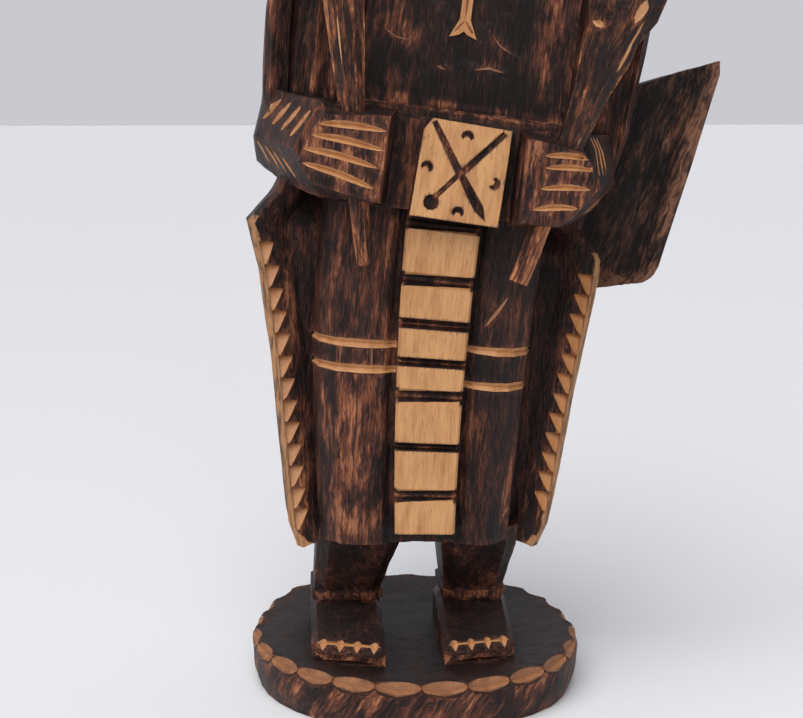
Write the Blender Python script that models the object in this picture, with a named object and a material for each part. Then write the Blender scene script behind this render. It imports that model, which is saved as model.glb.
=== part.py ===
# A carved wooden warrior standing on a round base, in metres, +Z up, the front towards -Y.
# The figure and its base are one log. Two clubs and a shield are separate pieces of wood.
import math

import bmesh
import bpy
from mathutils import Vector
from mathutils.bvhtree import BVHTree

# Driving sizes
baseHeight = 0.0258
baseOutline = (  # the reach of the base's edge at angles in degrees from +X
    (-180, 0.0842), (-150, 0.0846), (-90, 0.0862), (-40, 0.0870), (-20, 0.0848), (10, 0.0838), (22, 0.0850),
    (36, 0.0880), (50, 0.0900), (78, 0.0892), (100, 0.0920), (122, 0.0962), (132, 0.0945), (148, 0.0885),
    (160, 0.0850), (180, 0.0842))
baseProfile = (  # shares of that reach and of the rim's height, from the underside to the dished top
    (0.955, 0.0), (0.975, 0.10), (1.0, 0.35), (1.0, 0.88), (0.978, 1.0), (0.90, 0.99), (0.70, 0.86),
    (0.30, 0.76))
baseCorners, rimChipCount = 36, 24
totalHeight = 0.505
gap = 0.0003  # between pieces that touch

# The log leans to the figure's left: upright at the base, steepest at the chest, nearly upright at the head
leanSteps = ((0.0, 0.0), (0.050, 0.0), (0.250, 7.5), (0.350, 7.5), (0.400, 3.0), (0.600, 3.0))
handHeight = 0.264  # height of the fists along the log

# Half-widths of the cape along the log: narrow at the hem, flared under the elbows, wide at the arms
capeLeft = (
    (0.074, 0.0610), (0.080, 0.0647), (0.098, 0.0672), (0.132, 0.0718), (0.169, 0.0778), (0.206, 0.0866),
    (0.227, 0.0945), (0.234, 0.0900), (0.246, 0.0800), (0.252, 0.0800), (0.268, 0.0900), (0.290, 0.0940),
    (0.330, 0.0970), (0.355, 0.0950), (0.370, 0.0820), (0.380, 0.0600), (0.387, 0.0380),
)
capeRight = (
    (0.074, 0.0605), (0.080, 0.0650), (0.110, 0.0699), (0.153, 0.0746), (0.190, 0.0788), (0.218, 0.0812),
    (0.227, 0.0808), (0.234, 0.0770), (0.242, 0.0695), (0.252, 0.0700), (0.268, 0.0810), (0.290, 0.0855),
    (0.330, 0.0880), (0.355, 0.0895), (0.370, 0.0790), (0.380, 0.0590), (0.387, 0.0380),
)
capeDepth = ((0.074, 0.90), (0.200, 1.0), (0.345, 1.0), (0.370, 0.86), (0.387, 0.60))
capeInner = ((0.074, -0.0150), (0.227, -0.0150), (0.246, -0.0040), (0.387, -0.0040))  # inside the edges
capeLevels = (0.074, 0.086, 0.098, 0.115, 0.132, 0.150, 0.169, 0.190, 0.206, 0.218, 0.227, 0.234, 0.242,
              0.252, 0.268, 0.290, 0.312, 0.330, 0.345, 0.355, 0.363, 0.370, 0.380, 0.387)
hemRise = 0.007  # the hem is higher between the cape's two points

# Sizes that differ between the sides: -1 is the figure's right, 1 is its left
capeSide = {-1: capeLeft, 1: capeRight}
toothPitch, toothTop, toothWidth, toothFront, toothStrip = 0.0105, 0.2190, 0.0112, -0.0243, 0.0040
toothCount = {-1: 13, 1: 12}

columnFront, columnFoot = -0.0495, 0.081
columnSlot = 0.0016  # between the apron's edge and each leg
columnOuter = {-1: ((0.081, 0.0505), (0.149, 0.0562), (0.196, 0.0596), (0.240, 0.0600)),
               1: ((0.081, 0.0460), (0.139, 0.0483), (0.181, 0.0500), (0.240, 0.0515))}
kneeLines = {-1: (0.1790, 0.1670), 1: (0.1795, 0.1620)}
kneeDepth = 0.0015

# the shins: height, half-width, front and back
shinLevels = ((0.0340, 0.0172, -0.0085, 0.034), (0.0415, 0.0166, -0.0080, 0.034),
              (0.0425, 0.0178, -0.0095, 0.035), (0.0470, 0.0180, -0.0110, 0.035),
              (0.0480, 0.0166, -0.0100, 0.034), (0.0620, 0.0182, -0.0210, 0.034),
              (0.0760, 0.0200, -0.0310, 0.032), (0.0880, 0.0203, -0.0350, 0.030))
shinMiddle = {-1: ((0.034, -0.0358), (0.048, -0.0350), (0.088, -0.0290)),
              1: ((0.034, 0.0300), (0.048, 0.0300), (0.088, 0.0300))}
shinExtra = {-1: 0.0007, 1: -0.0010}

# the feet from the heel forward: place, half-width, height, how much of the front's slant
footLevels = ((0.0340, 0.0150, 0.0300, 0.0), (0.0300, 0.0172, 0.0390, 0.0), (0.0040, 0.0182, 0.0445, 0.0),
              (-0.0100, 0.0184, 0.0415, 0.0), (-0.0280, 0.0184, 0.0355, 0.6), (-0.0410, 0.0184, 0.0312, 1.0),
              (-0.0450, 0.0178, 0.0250, 1.0))
footMiddle = {-1: -0.0358, 1: 0.0290}
footSlant = {-1: 0.30, 1: 0.20}
toeHeight, toePlaces = 0.0300, (-0.0125, -0.0042, 0.0042, 0.0125)

apronLeft = ((0.0885, -0.0143), (0.2345, -0.0199))
apronRight = ((0.0885, 0.0150), (0.2345, 0.0156))
apronFront, apronCut = -0.0530, 0.0022
apronPanels = ((0.2348, 0.2148), (0.2082, 0.1931), (0.1883, 0.1745), (0.1702, 0.1596),
               (0.1528, 0.1334), (0.1295, 0.1108), (0.1043, 0.0885))

chestFront, beltFront, plateFront, fistFront = -0.0360, -0.0555, -0.0660, -0.0750
# the upper arms: height, scale of the outline, how far it's set back
armLevels = ((0.262, 0.97, 0.0), (0.300, 1.0, 0.0), (0.335, 1.02, 0.0), (0.352, 1.0, 0.002),
             (0.366, 0.93, 0.006), (0.374, 0.82, 0.014), (0.380, 0.62, 0.030))
sleeveReach = {-1: (0.0965, 0.066), 1: (0.0850, 0.058)}  # to the elbow and to the wrist
elbowBack = 0.0080

clubLean = {-1: math.radians(11.6), 1: math.radians(12.8)}
clubStart = {-1: (-0.0377, -0.0630, 0.2155), 1: (0.0350, -0.0630, 0.2165)}  # their lower ends
# each club: distance along it, half-width across, half-width front to back
clubStations = {
    -1: ((0.0, 0.0022, 0.0022), (0.002, 0.0034, 0.0036), (0.012, 0.0040, 0.0042), (0.034, 0.0050, 0.0050),
         (0.074, 0.0064, 0.0060), (0.100, 0.0082, 0.0068), (0.128, 0.0102, 0.0078), (0.160, 0.0122, 0.0086),
         (0.186, 0.0128, 0.0088), (0.198, 0.0105, 0.0074), (0.204, 0.0060, 0.0046)),
    1: ((0.0, 0.0046, 0.0042), (0.024, 0.0050, 0.0048), (0.050, 0.0058, 0.0054), (0.074, 0.0066, 0.0060),
        (0.094, 0.0090, 0.0068), (0.110, 0.0122, 0.0080), (0.121, 0.0128, 0.0086), (0.133, 0.0172, 0.0118),
        (0.152, 0.0182, 0.0124), (0.172, 0.0145, 0.0104), (0.182, 0.0080, 0.0060)),
}

hairBottom, chin, bandLow, bandHigh = 0.346, 0.387, 0.4530, 0.4690
faceFront = -0.0425
bandReach = (0.0400, -0.0431, 0.0480)  # the headband's half-width, front and back
featherCount = 13

shieldFront = 0.0110
shieldCorners = {
    "bottomLeft": Vector((0.0700, 0.0, 0.1965)), "bottomRight": Vector((0.1215, 0.0, 0.2050)),
    "topLeft": Vector((0.0850, 0.0, 0.2940)), "topRight": Vector((0.1548, 0.0, 0.3160)),
}
shieldRim = (0.020, 0.065)  # where the hollow starts above the foot, as shares of the height
shieldRows = (  # share of the height, and how far the outer edge draws in there
    (0.0, 0.0062), (0.012, 0.0030), (0.030, 0.0012), (0.065, 0.0), (0.20, 0.0), (0.35, 0.0), (0.50, 0.0),
    (0.65, 0.0), (0.80, 0.0), (0.93, 0.0), (1.0, 0.0028),
)

woods = {  # base color and roughness
    "figure": ((0.060, 0.030, 0.018, 1.0), 0.42),
    "right_hand_club": ((0.130, 0.062, 0.032, 1.0), 0.50),
    "left_hand_club": ((0.130, 0.062, 0.032, 1.0), 0.50),
    "shield": ((0.050, 0.032, 0.026, 1.0), 0.45),
}


def between(value, pairs):
    # straight-line reading between (position, size) pairs
    for (low, first), (high, last) in zip(pairs, pairs[1:]):
        if value <= high:
            share = max(0.0, (value - low) / (high - low))
            return first + (last - first) * share
    return pairs[-1][1]


def buildAxis(length=0.600, step=0.001):
    # the log's bent centre line: position at every step along it
    line = [(0.0, 0.0)]
    for index in range(int(round(length / step))):
        angle = math.radians(between((index + 0.5) * step, leanSteps))
        x, z = line[-1]
        line.append((x + step * math.sin(angle), z + step * math.cos(angle)))
    return line, step


axisLine, axisStep = buildAxis()


def axisAt(height):
    place = min(max(height / axisStep, 0.0), len(axisLine) - 1.001)
    index = int(place)
    share = place - index
    (x0, z0), (x1, z1) = axisLine[index], axisLine[index + 1]
    return x0 + (x1 - x0) * share, z0 + (z1 - z0) * share


def leaned(point):
    # carries a point of the straight figure to its place on the bent log
    if point.z <= 0.0:
        return Vector(point)
    x, z = axisAt(point.z)
    angle = math.radians(between(point.z, leanSteps))
    return Vector((x + point.x * math.cos(angle), point.y, z - point.x * math.sin(angle)))


def carried(point, height=handHeight):
    # the same move for a straight, stiff piece that is held at one height
    x, z = axisAt(height)
    angle = math.radians(between(height, leanSteps))
    up = point.z - height
    return Vector((x + point.x * math.cos(angle) + up * math.sin(angle), point.y,
                   z - point.x * math.sin(angle) + up * math.cos(angle)))


def clearScene():
    for item in list(bpy.data.objects):
        bpy.data.objects.remove(item, do_unlink=True)


def solid(name, points, faces):
    mesh = bpy.data.meshes.new(name)
    shape = bmesh.new()
    verts = [shape.verts.new(point) for point in points]
    for face in faces:
        shape.faces.new([verts[index] for index in face])
    bmesh.ops.triangulate(shape, faces=shape.faces[:])
    bmesh.ops.recalc_face_normals(shape, faces=shape.faces[:])
    shape.to_mesh(mesh)
    shape.free()
    item = bpy.data.objects.new(name, mesh)
    bpy.context.scene.collection.objects.link(item)
    return item


def loft(name, rings):
    # a skin over rings of equal point count, with a cap at each end
    count = len(rings[0])
    points = [point for ring in rings for point in ring]
    faces = [list(range(count))[::-1], [len(points) - count + index for index in range(count)]]
    for level in range(len(rings) - 1):
        for index in range(count):
            following = (index + 1) % count
            low, high = level * count, (level + 1) * count
            faces.append((low + index, low + following, high + following, high + index))
    return solid(name, points, faces)


def hull(name, points):
    mesh = bpy.data.meshes.new(name)
    shape = bmesh.new()
    for point in points:
        shape.verts.new(point)
    result = bmesh.ops.convex_hull(shape, input=shape.verts[:])
    loose = {item for item in result["geom_interior"] + result["geom_unused"]
             if isinstance(item, bmesh.types.BMVert)}
    bmesh.ops.delete(shape, geom=list(loose), context="VERTS")
    bmesh.ops.recalc_face_normals(shape, faces=shape.faces[:])
    shape.to_mesh(mesh)
    shape.free()
    item = bpy.data.objects.new(name, mesh)
    bpy.context.scene.collection.objects.link(item)
    return item


def groove(path, widths, depth, outward, lift=0.0015):
    # a V-shaped gouge cut along a path on a surface, running out to nothing where the width is 0
    outward = Vector(outward).normalized()
    widest = max(widths)
    points, rings = [], []
    for index, (place, width) in enumerate(zip(path, widths)):
        place = Vector(place)
        if width == 0.0:
            points.append(place + outward * 0.0002)
            rings.append((len(points) - 1,))
            continue
        before = Vector(path[max(index - 1, 0)])
        after = Vector(path[min(index + 1, len(path) - 1)])
        side = (after - before).cross(outward).normalized()
        deep = depth * width / widest
        reach = width / 2 * (1 + lift / deep)
        points += [place + side * reach + outward * lift, place - side * reach + outward * lift,
                   place - outward * deep]
        rings.append(tuple(range(len(points) - 3, len(points))))
    faces = []
    for first, last in zip(rings, rings[1:]):
        for index in range(3):
            following = (index + 1) % 3
            corners = [first[index % len(first)], first[following % len(first)],
                       last[following % len(last)], last[index % len(last)]]
            faces.append(list(dict.fromkeys(corners)))
    faces += [ring for ring in (rings[0][::-1], rings[-1]) if len(ring) == 3]
    return solid("groove", points, faces)


def marked(surface, path, widths, depth, lift=0.0015):
    # a groove laid out from the front, as (x, height) places, and cut where they meet the surface
    places, outward = [], Vector((0.0, 0.0, 0.0))
    for x, height in path:
        place, normal, _, _ = surface.ray_cast(Vector((x, -0.200, height)), Vector((0.0, 1.0, 0.0)))
        places.append(place)
        outward += normal
    return groove(places, widths, depth, outward, lift)


def surfaceOf(item):
    return BVHTree.FromPolygons([vert.co.copy() for vert in item.data.vertices],
                                [tuple(face.vertices) for face in item.data.polygons])


def combine(base, tools, operation):
    # one exact Boolean of the base with all the tools, which are used up
    holder = bpy.data.collections.new("tools")
    bpy.context.scene.collection.children.link(holder)
    for tool in tools:
        bpy.context.scene.collection.objects.unlink(tool)
        holder.objects.link(tool)
    modifier = base.modifiers.new("carving", "BOOLEAN")
    modifier.operation = operation
    modifier.operand_type = "COLLECTION"
    modifier.collection = holder
    modifier.solver = "EXACT"
    bpy.context.view_layer.update()
    carvedBase = base.evaluated_get(bpy.context.evaluated_depsgraph_get())
    carvedMesh = bpy.data.meshes.new_from_object(carvedBase)
    base.modifiers.clear()
    base.data = carvedMesh
    for tool in tools:
        bpy.data.objects.remove(tool, do_unlink=True)
    bpy.data.collections.remove(holder)


def moved(item, move):
    for vert in item.data.vertices:
        vert.co = move(vert.co.copy())


def capeRing(height, grow=0.0):
    # seen from above: a back with rounded corners and a forward edge at each side
    low = height <= capeLevels[0]
    depth, inner = between(height, capeDepth), between(height, capeInner)
    ring = []
    for side, widths in ((1, capeRight), (-1, capeLeft)):
        width = between(height, widths) + grow
        half = [(width * 0.35, inner + 0.0060, hemRise), (width - 0.0185, inner, hemRise),
                (width - 0.0120, min(inner - 0.0060, -0.0195), 0.003), (width - 0.0035, -0.0245, 0.0),
                (width, -0.0200, 0.0), (width + 0.0010, 0.0040, 0.001), (width - 0.0040, 0.0280, 0.004),
                (width - 0.0200, 0.0455 * depth, hemRise), (width * 0.42, 0.0545 * depth, hemRise)]
        ring.append([(x * side, y + math.copysign(grow, y), height + (rise if low else 0.0))
                     for x, y, rise in half])
    back = (0.0, 0.0570 * depth + grow, height + (hemRise if low else 0.0))
    return [Vector(point) for point in ring[0] + [back] + ring[1][::-1]]


def cape(name="cape", grow=0.0):
    return loft(name, [capeRing(height, grow) for height in capeLevels])


def teeth():
    # saw-tooth chips down each edge of the cape: a level stop cut and a slope running out below it
    cutters = []
    front = toothFront
    for side, widths in capeSide.items():
        for index in range(toothCount[side]):
            top = toothTop - index * toothPitch
            bottom = top - toothPitch * 0.94
            upper, lower = between(top, widths), between(bottom, widths)
            upper, lower = upper - toothStrip, lower - toothStrip
            points = [(upper + toothStrip - toothWidth, front - 0.0006, top), (upper, front + 0.0045, top),
                      (upper, front - 0.0070, top), (lower - 0.0012, front - 0.0004, bottom),
                      (lower, front + 0.0008, bottom), (lower, front - 0.0060, bottom)]
            cutters.append(hull("tooth", [(x * side, y, z) for x, y, z in points]))
    return cutters


def column(side):
    # one trouser leg, its knee lines cut as shallow grooves right across
    levels = [(columnFoot, 0.0), (0.107, 0.0), (0.130, 0.0), (0.150, 0.0)]
    for line in sorted(kneeLines[side]):
        levels += [(line - kneeDepth, 0.0), (line, kneeDepth), (line + kneeDepth, 0.0)]
    levels += [(0.200, 0.0), (0.222, 0.0), (0.245, 0.0)]
    rings = []
    for height, inset in levels:
        inner = between(height, apronRight) if side > 0 else -between(height, apronLeft)
        inner += columnSlot + inset * 0.5
        outer = between(height, columnOuter[side]) - inset
        front = columnFront + inset + between(height, ((columnFoot, 0.0035), (0.130, 0.0), (0.245, 0.0)))
        outline = [(-0.002, 0.010), (-0.002, front + 0.0070), (inner, front + 0.0055),
                   (inner + 0.004, front + 0.0020), (inner + 0.013, front), (outer - 0.011, front + 0.0025),
                   (outer - 0.003, front + 0.0120), (outer, front + 0.0260), (outer - 0.004, 0.010)]
        rings.append([Vector((x * side, y, height)) for x, y in outline])
    return loft("column", rings)


def apron():
    # the hanging apron: seven flat panels with a double cut between each two
    levels, above = [(0.2445, 0.0)], 0.2410
    for top, bottom in apronPanels:
        middle = (above + top) / 2
        levels += [(above, 0.0), ((above + middle) / 2, apronCut), (middle, 0.0006),
                   ((middle + top) / 2, apronCut), (top, 0.0)]
        above = bottom
    levels.append((above, 0.0))
    rings = []
    for height, inset in levels:
        left, right = between(height, apronLeft), between(height, apronRight)
        front = apronFront + inset
        outline = [(left, 0.009), (left, front + 0.0014), (left + 0.0012, front), (right - 0.0012, front),
                   (right, front + 0.0014), (right, 0.009)]
        rings.append([Vector((x, y, height)) for x, y in outline])
    return loft("apron", rings)


def leg(side):
    # a shin set back from the skirt, with a narrow band above the ankle
    corner = 0.006
    rings = []
    for height, half, front, back in shinLevels:
        half += shinExtra[side]
        quarter = [(half, back - corner), (half - corner, back)]
        outline = [(-half, front + corner), (-half + corner, front), (half - corner, front),
                   (half, front + corner)]
        outline += quarter + [(-x, y) for x, y in reversed(quarter)]
        middle = between(height, shinMiddle[side])
        rings.append([Vector((middle + x, y, height)) for x, y in outline])
    return loft("leg", rings)


def foot(side):
    # a wedge-shaped foot, its front edge slanting back towards the outside
    buried = 0.012
    rings = []
    for along, half, top, slanted in footLevels:
        slope = side * footSlant[side] * slanted
        outline = [(-half, buried), (-half, top - 0.004), (-half + 0.003, top), (half - 0.003, top),
                   (half, top - 0.004), (half, buried)]
        rings.append([Vector((footMiddle[side] + x, along + x * slope, z)) for x, z in outline])
    return loft("foot", rings)


def toes(side):
    # four small chips over the front edge of a foot, and a fine line below them
    slant = footSlant[side] * side
    forward = Vector((slant, -1.0, 0.0)).normalized()
    edge = Vector((footMiddle[side], -0.0418, toeHeight))
    outward = (forward + Vector((0.0, 0.0, 0.75))).normalized()
    down = (forward * 0.75 - Vector((0.0, 0.0, 1.0))).normalized()
    cutters = []
    for place in toePlaces:
        middle = edge + Vector((place, place * slant, 0.0))
        cutters.append(groove([middle - down * 0.0042, middle, middle + down * 0.0042],
                              (0.0, 0.0038, 0.0), 0.0018, outward, 0.0030))
    line = [edge + Vector((place, place * slant - 0.0028, -0.0080)) for place in (-0.0155, 0.0, 0.0155)]
    cutters.append(groove(line, (0.0, 0.0016, 0.0), 0.0012, forward))
    return cutters


def rimPlace(angle):
    # where the base's worn upper edge is, at an angle in degrees from +X
    turn = math.radians(angle)
    reach = between((angle + 180) % 360 - 180, baseOutline)
    return Vector((reach * math.cos(turn), reach * math.sin(turn), baseHeight + 0.0012 * math.sin(turn)))


def base():
    # a slice of the log, sawn flat below, with an uneven edge and a dished top
    rim = [rimPlace(360 * index / baseCorners) for index in range(baseCorners)]
    return loft("base", [[Vector((place.x * reach, place.y * reach, place.z * share)) for place in rim]
                         for reach, share in baseProfile])


def rimChips(count=rimChipCount):
    # pale scallops cut all round the base's upper edge
    shares = (-1.0, -0.55, 0.0, 0.55, 1.0)
    cutters = []
    for index in range(count):
        middle = 360 * (index + 0.35) / count
        rim = rimPlace(middle)
        along = (rimPlace(middle + 6) - rimPlace(middle - 6)).normalized()
        outward = (along.cross(Vector((0.0, 0.0, 1.0))) + Vector((0.0, 0.0, 0.8))).normalized()
        path = []
        for share in shares:
            place = rimPlace(middle + share * 180 / count * 0.98)
            place = place - Vector((rim.x, rim.y, 0.0)).normalized() * 0.0012 - Vector((0.0, 0.0, 0.0022))
            path.append(place - outward * (1 - abs(share)) * 0.0014)
        cutters.append(groove(path, (0.0, 0.0054, 0.0068, 0.0054, 0.0), 0.0020, outward, 0.004))
    return cutters


def upperArm(side):
    # upright folds gouged between the chest and the cape's edge
    outline = ((0.046, 0.012), (0.046, -0.027), (0.0505, -0.0315), (0.0555, -0.0285), (0.0605, -0.0325),
               (0.0655, -0.0285), (0.0705, -0.0315), (0.0755, -0.0275), (0.0800, -0.0290), (0.0830, -0.0120),
               (0.0830, 0.012))
    rings = []
    for height, scale, back in armLevels:
        rings.append([Vector((x * scale * side, min(y + back, 0.014 + y * 0.1), height))
                      for x, y in outline])
    return loft("upper_arm", rings)


def sleeve(side):
    # the forearm from the elbow to the fist, with a ridge along its outer side
    far, wrist = sleeveReach[side]
    points = [(far - 0.003, 0.004, 0.2905), (far - 0.005, -0.018, 0.2905), (far, elbowBack, 0.266),
              (far - 0.001, -0.014, 0.2665), (far - 0.003, elbowBack, 0.2540),
              (far - 0.0155, elbowBack, 0.2475),
              (far - 0.0165, -0.016, 0.2470), (wrist, -0.0600, 0.2885), (wrist + 0.010, -0.0580, 0.2650),
              (wrist - 0.004, -0.0580, 0.2440), (0.045, 0.0125, 0.2900), (0.045, 0.0125, 0.2460),
              (0.032, -0.0545, 0.2880), (0.032, -0.0545, 0.2445)]
    return hull("sleeve", [(x * side, y, z) for x, y, z in points])


def sleeveChips(surface):
    # rows of slanting chips on the upper and lower faces of the sleeves
    cutters = []
    for index in range(4):
        upper = [(-0.0921 + 0.0045 * index, 0.2760 - 0.0020 * index),
                 (-0.0847 + 0.0047 * index, 0.2862 - 0.0010 * index)]
        lower = [(-0.0942 + 0.0044 * index, 0.2655 - 0.0021 * index),
                 (-0.0866 + 0.0043 * index, 0.2550 - 0.0014 * index)]
        cutters += [chip(surface, *upper, 0.0030, 0.0018), chip(surface, *lower, 0.0022, 0.0014)]
    for start, end in (((0.0655, 0.2500), (0.0765, 0.2595)), ((0.0685, 0.2490), (0.0775, 0.2565))):
        cutters.append(chip(surface, start, end, 0.0020, 0.0014))
    return cutters


def chip(surface, start, end, width, depth, swell=0.0):
    # a leaf-shaped chip between two places marked from the front
    (x0, z0), (x1, z1) = start, end
    path = [(x0 + (x1 - x0) * share, z0 + (z1 - z0) * share + swell * math.sin(math.pi * share))
            for share in (0.0, 0.3, 0.65, 1.0)]
    return marked(surface, path, (0.0, width * 0.9, width, 0.0), depth)


def rightFist():
    # a squared-off block of a hand
    front = [(-0.0640, -0.0735, 0.2825), (-0.0345, fistFront, 0.2855), (-0.0355, fistFront, 0.2455),
             (-0.0665, -0.0715, 0.2500), (-0.0735, -0.0690, 0.2590), (-0.0705, -0.0705, 0.2730)]
    back = [(-0.066, 0.2890), (-0.0300, 0.2890), (-0.0290, 0.2440), (-0.0620, 0.2440), (-0.0740, 0.2600)]
    return hull("right_fist", front + [(x, -0.050, z) for x, z in back])


def leftFist():
    # a rounder hand
    front = [(0.0280, fistFront, 0.2835), (0.0430, fistFront, 0.2825), (0.0545, -0.0735, 0.2800),
             (0.0605, -0.0715, 0.2745), (0.0620, -0.0710, 0.2670), (0.0600, -0.0715, 0.2580),
             (0.0550, -0.0730, 0.2510), (0.0450, fistFront, 0.2450), (0.0290, fistFront, 0.2445)]
    back = [(0.0265, 0.2880), (0.0560, 0.2860), (0.0650, 0.2780), (0.0680, 0.2660), (0.0650, 0.2540),
            (0.0540, 0.2430), (0.0270, 0.2410)]
    return hull("left_fist", front + [(x, -0.050, z) for x, z in back])


def fingers(surface):
    # four long pale cuts mark the fingers of each hand
    rows = (((-0.0665, 0.2779), (-0.0363, 0.2782)), ((-0.0690, 0.2724), (-0.0360, 0.2694)),
            ((-0.0720, 0.2659), (-0.0380, 0.2614)), ((-0.0715, 0.2592), (-0.0386, 0.2519)),
            ((0.0375, 0.2766), (0.0585, 0.2775)), ((0.0383, 0.2712), (0.0610, 0.2725)),
            ((0.0374, 0.2615), (0.0605, 0.2638)), ((0.0351, 0.2516), (0.0560, 0.2545)))
    sizes = {True: (0.0030, 0.0020), False: (0.0024, 0.0017)}  # the right hand's and the left's
    return [chip(surface, start, end, *sizes[start[0] < 0.0], 0.0010) for start, end in rows]


def belt():
    # the block across the waist between the hands, with a ridge along its top
    block = [(x, y, z) for x in (-0.056, 0.052) for y, z in
             ((beltFront, 0.2435), (beltFront, 0.2850), (-0.0535, 0.2870), (0.015, 0.2890), (0.015, 0.2435))]
    ridge = [(x, y, z) for x in (-0.047, 0.050) for y, z in
             ((-0.0450, 0.2800), (-0.0440, 0.2905), (-0.0415, 0.2920), (-0.0300, 0.2920), (-0.0300, 0.2800))]
    return [hull("belt", block), hull("belt_ridge", ridge)]


def plate():
    # the raised square plate at the middle of the belt, its upper corner cut off
    outline = [(-0.0150, 0.2870), (0.0222, 0.2857), (0.0216, 0.2407), (-0.0201, 0.2417), (-0.0185, 0.2815)]
    return hull("plate", [(x, plateFront, z) for x, z in outline] + [(x, -0.050, z) for x, z in outline])


def plateCarving(surface):
    # two crossed strokes, one ending in a knob
    blade = [(-0.0140, 0.2855), (0.0010, 0.2630), (0.0115, 0.2485), (0.0155, 0.2425)]
    mace = [(0.0190, 0.2840), (0.0030, 0.2655), (-0.0095, 0.2515)]
    cutters = [marked(surface, blade, (0.0024, 0.0036, 0.0046, 0.0), 0.0018),
               marked(surface, mace, (0.0026, 0.0032, 0.0026), 0.0014)]
    ring = []
    for knob, y in ((0.0042, plateFront - 0.001), (0.0024, plateFront + 0.0021)):
        ring += [(-0.0108 + knob * math.cos(turn), y, 0.2488 + knob * math.sin(turn))
                 for turn in (2 * math.pi * index / 10 for index in range(10))]
    return cutters + [hull("knob", ring)]


def chest():
    points = [(x, y, z) for x in (-0.050, 0.051) for y, z in
              ((chestFront, 0.270), (chestFront, 0.366), (0.010, 0.270), (0.010, 0.378))]
    points += [(x, y, z) for x in (-0.032, 0.032) for y, z in ((-0.0230, 0.3840), (0.010, 0.3840))]
    return hull("chest", points)


def pendant():
    # a narrow strip down the chest that ends in a fish tail
    middle, face = -0.0034, chestFront - 0.0016
    strip = [(middle + x, y, z) for x in (-0.0026, 0.0026) for y in (face, chestFront + 0.004)
             for z in (0.3325, 0.3640)]
    tails = [[(middle + x * side, y, z) for x, z in ((-0.0006, 0.3290), (0.0026, 0.3340), (0.0066, 0.3253),
                                                     (0.0020, 0.3268), (-0.0006, 0.3335))
              for y in (face, chestFront + 0.004)] for side in (-1, 1)]
    return [hull("strip", strip)] + [hull("tail", tail) for tail in tails]


def oval(height, half, front, back, count=18, squareness=2.3):
    # one level of a head: an oval that is a little square
    middle, reach = (front + back) / 2, (back - front) / 2
    ring = []
    for index in range(count):
        turn = 2 * math.pi * (index + 0.5) / count
        x, y = math.cos(turn), math.sin(turn)
        swell = (abs(x) ** squareness + abs(y) ** squareness) ** (-1 / squareness)
        ring.append(Vector((x * half * swell, middle + y * reach * swell, height)))
    return ring


def head():
    skins = {
        "face": ((chin - 0.0010, 0.0090, -0.0350, -0.0100), (chin + 0.0030, 0.0155, -0.0395, 0.0),
                 (chin + 0.0110, 0.0210, -0.0415, 0.010), (chin + 0.0230, 0.0252, -0.0425, 0.010),
                 (chin + 0.0380, 0.0272, -0.0425, 0.010), (chin + 0.0490, 0.0275, -0.0430, 0.010),
                 (chin + 0.0620, 0.0268, -0.0410, 0.010), (chin + 0.0760, 0.0258, -0.0370, 0.010)),
        "hair": ((hairBottom, 0.0370, -0.0020, 0.0560), (hairBottom + 0.004, 0.0400, -0.0020, 0.0592),
                 (0.3700, 0.0415, -0.0040, 0.0575), (0.3920, 0.0418, -0.0080, 0.0530),
                 (0.4150, 0.0410, -0.0120, 0.0490), (0.4350, 0.0395, -0.0200, 0.0470),
                 (0.4480, 0.0370, -0.0300, 0.0450), (0.4700, 0.0350, -0.0330, 0.0420)),
        "neck": ((0.3660, 0.0240, -0.0240, 0.020), (0.3800, 0.0205, -0.0220, 0.020),
                 (0.3950, 0.0195, -0.0240, 0.020)),
        "band": ((bandLow, 0.0385, -0.0410, 0.0465), (bandLow + 0.0014, *bandReach),
                 (bandHigh - 0.0014, *bandReach), (bandHigh, 0.0385, -0.0410, 0.0465)),
    }
    return [loft(name, [oval(*level) for level in levels]) for name, levels in skins.items()]


def features():
    # the nose and lips of a plain carved face
    nose = ((0.0024, -0.0010, 0.0460), (0.0032, -0.0072, 0.0270), (0.0040, -0.0085, 0.0245),
            (0.0030, -0.0060, 0.0222), (0.0068, -0.0020, 0.0232), (0.0062, 0.0020, 0.0260),
            (0.0050, 0.0040, 0.0450))
    parts = [hull("nose", [(x * side, faceFront + y, chin + z) for x, y, z in nose for side in (-1, 1)])]
    for middle, half, thick, reach in ((0.0168, 0.0085, 0.0020, 0.0022), (0.0135, 0.0072, 0.0022, 0.0020)):
        lip = [(0.0, -reach, 0.0), (half, 0.0022, 0.0), (0.0, 0.0030, -thick), (0.0, 0.0030, thick),
               (half * 0.5, -reach * 0.6, 0.0), (half * 0.4, -reach * 0.2, thick * 0.8),
               (half * 0.4, -reach * 0.2, -thick * 0.8)]
        parts.append(hull("lip", [(x * side, faceFront + y, chin + middle + z)
                                  for x, y, z in lip for side in (-1, 1)]))
    return parts


def eyeSockets():
    cutters = []
    for side in (-1, 1):
        path = [((0.0050 + 0.0150 * share) * side, -0.0432 + 0.0055 * share * share,
                 chin + 0.0400 + 0.0012 * math.sin(math.pi * share)) for share in (0.0, 0.3, 0.65, 1.0)]
        cutters.append(groove(path, (0.0, 0.0068, 0.0068, 0.0), 0.0036, (0.25 * side, -1.0, 0.0)))
    return cutters


def eyes():
    # almond-shaped lids set in the sockets
    parts = []
    turns = [2 * math.pi * index / 8 for index in range(8)]
    for side in (-1, 1):
        middle = Vector((0.0122 * side, -0.0398, chin + 0.0402))
        points = []
        for half, tall, y in ((0.0030, 0.0015, -0.0016), (0.0052, 0.0025, 0.0008), (0.0052, 0.0025, 0.0068)):
            points += [middle + Vector((half * math.cos(turn), y, tall * math.sin(turn))) for turn in turns]
        parts.append(hull("eye", points))
    return parts


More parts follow.
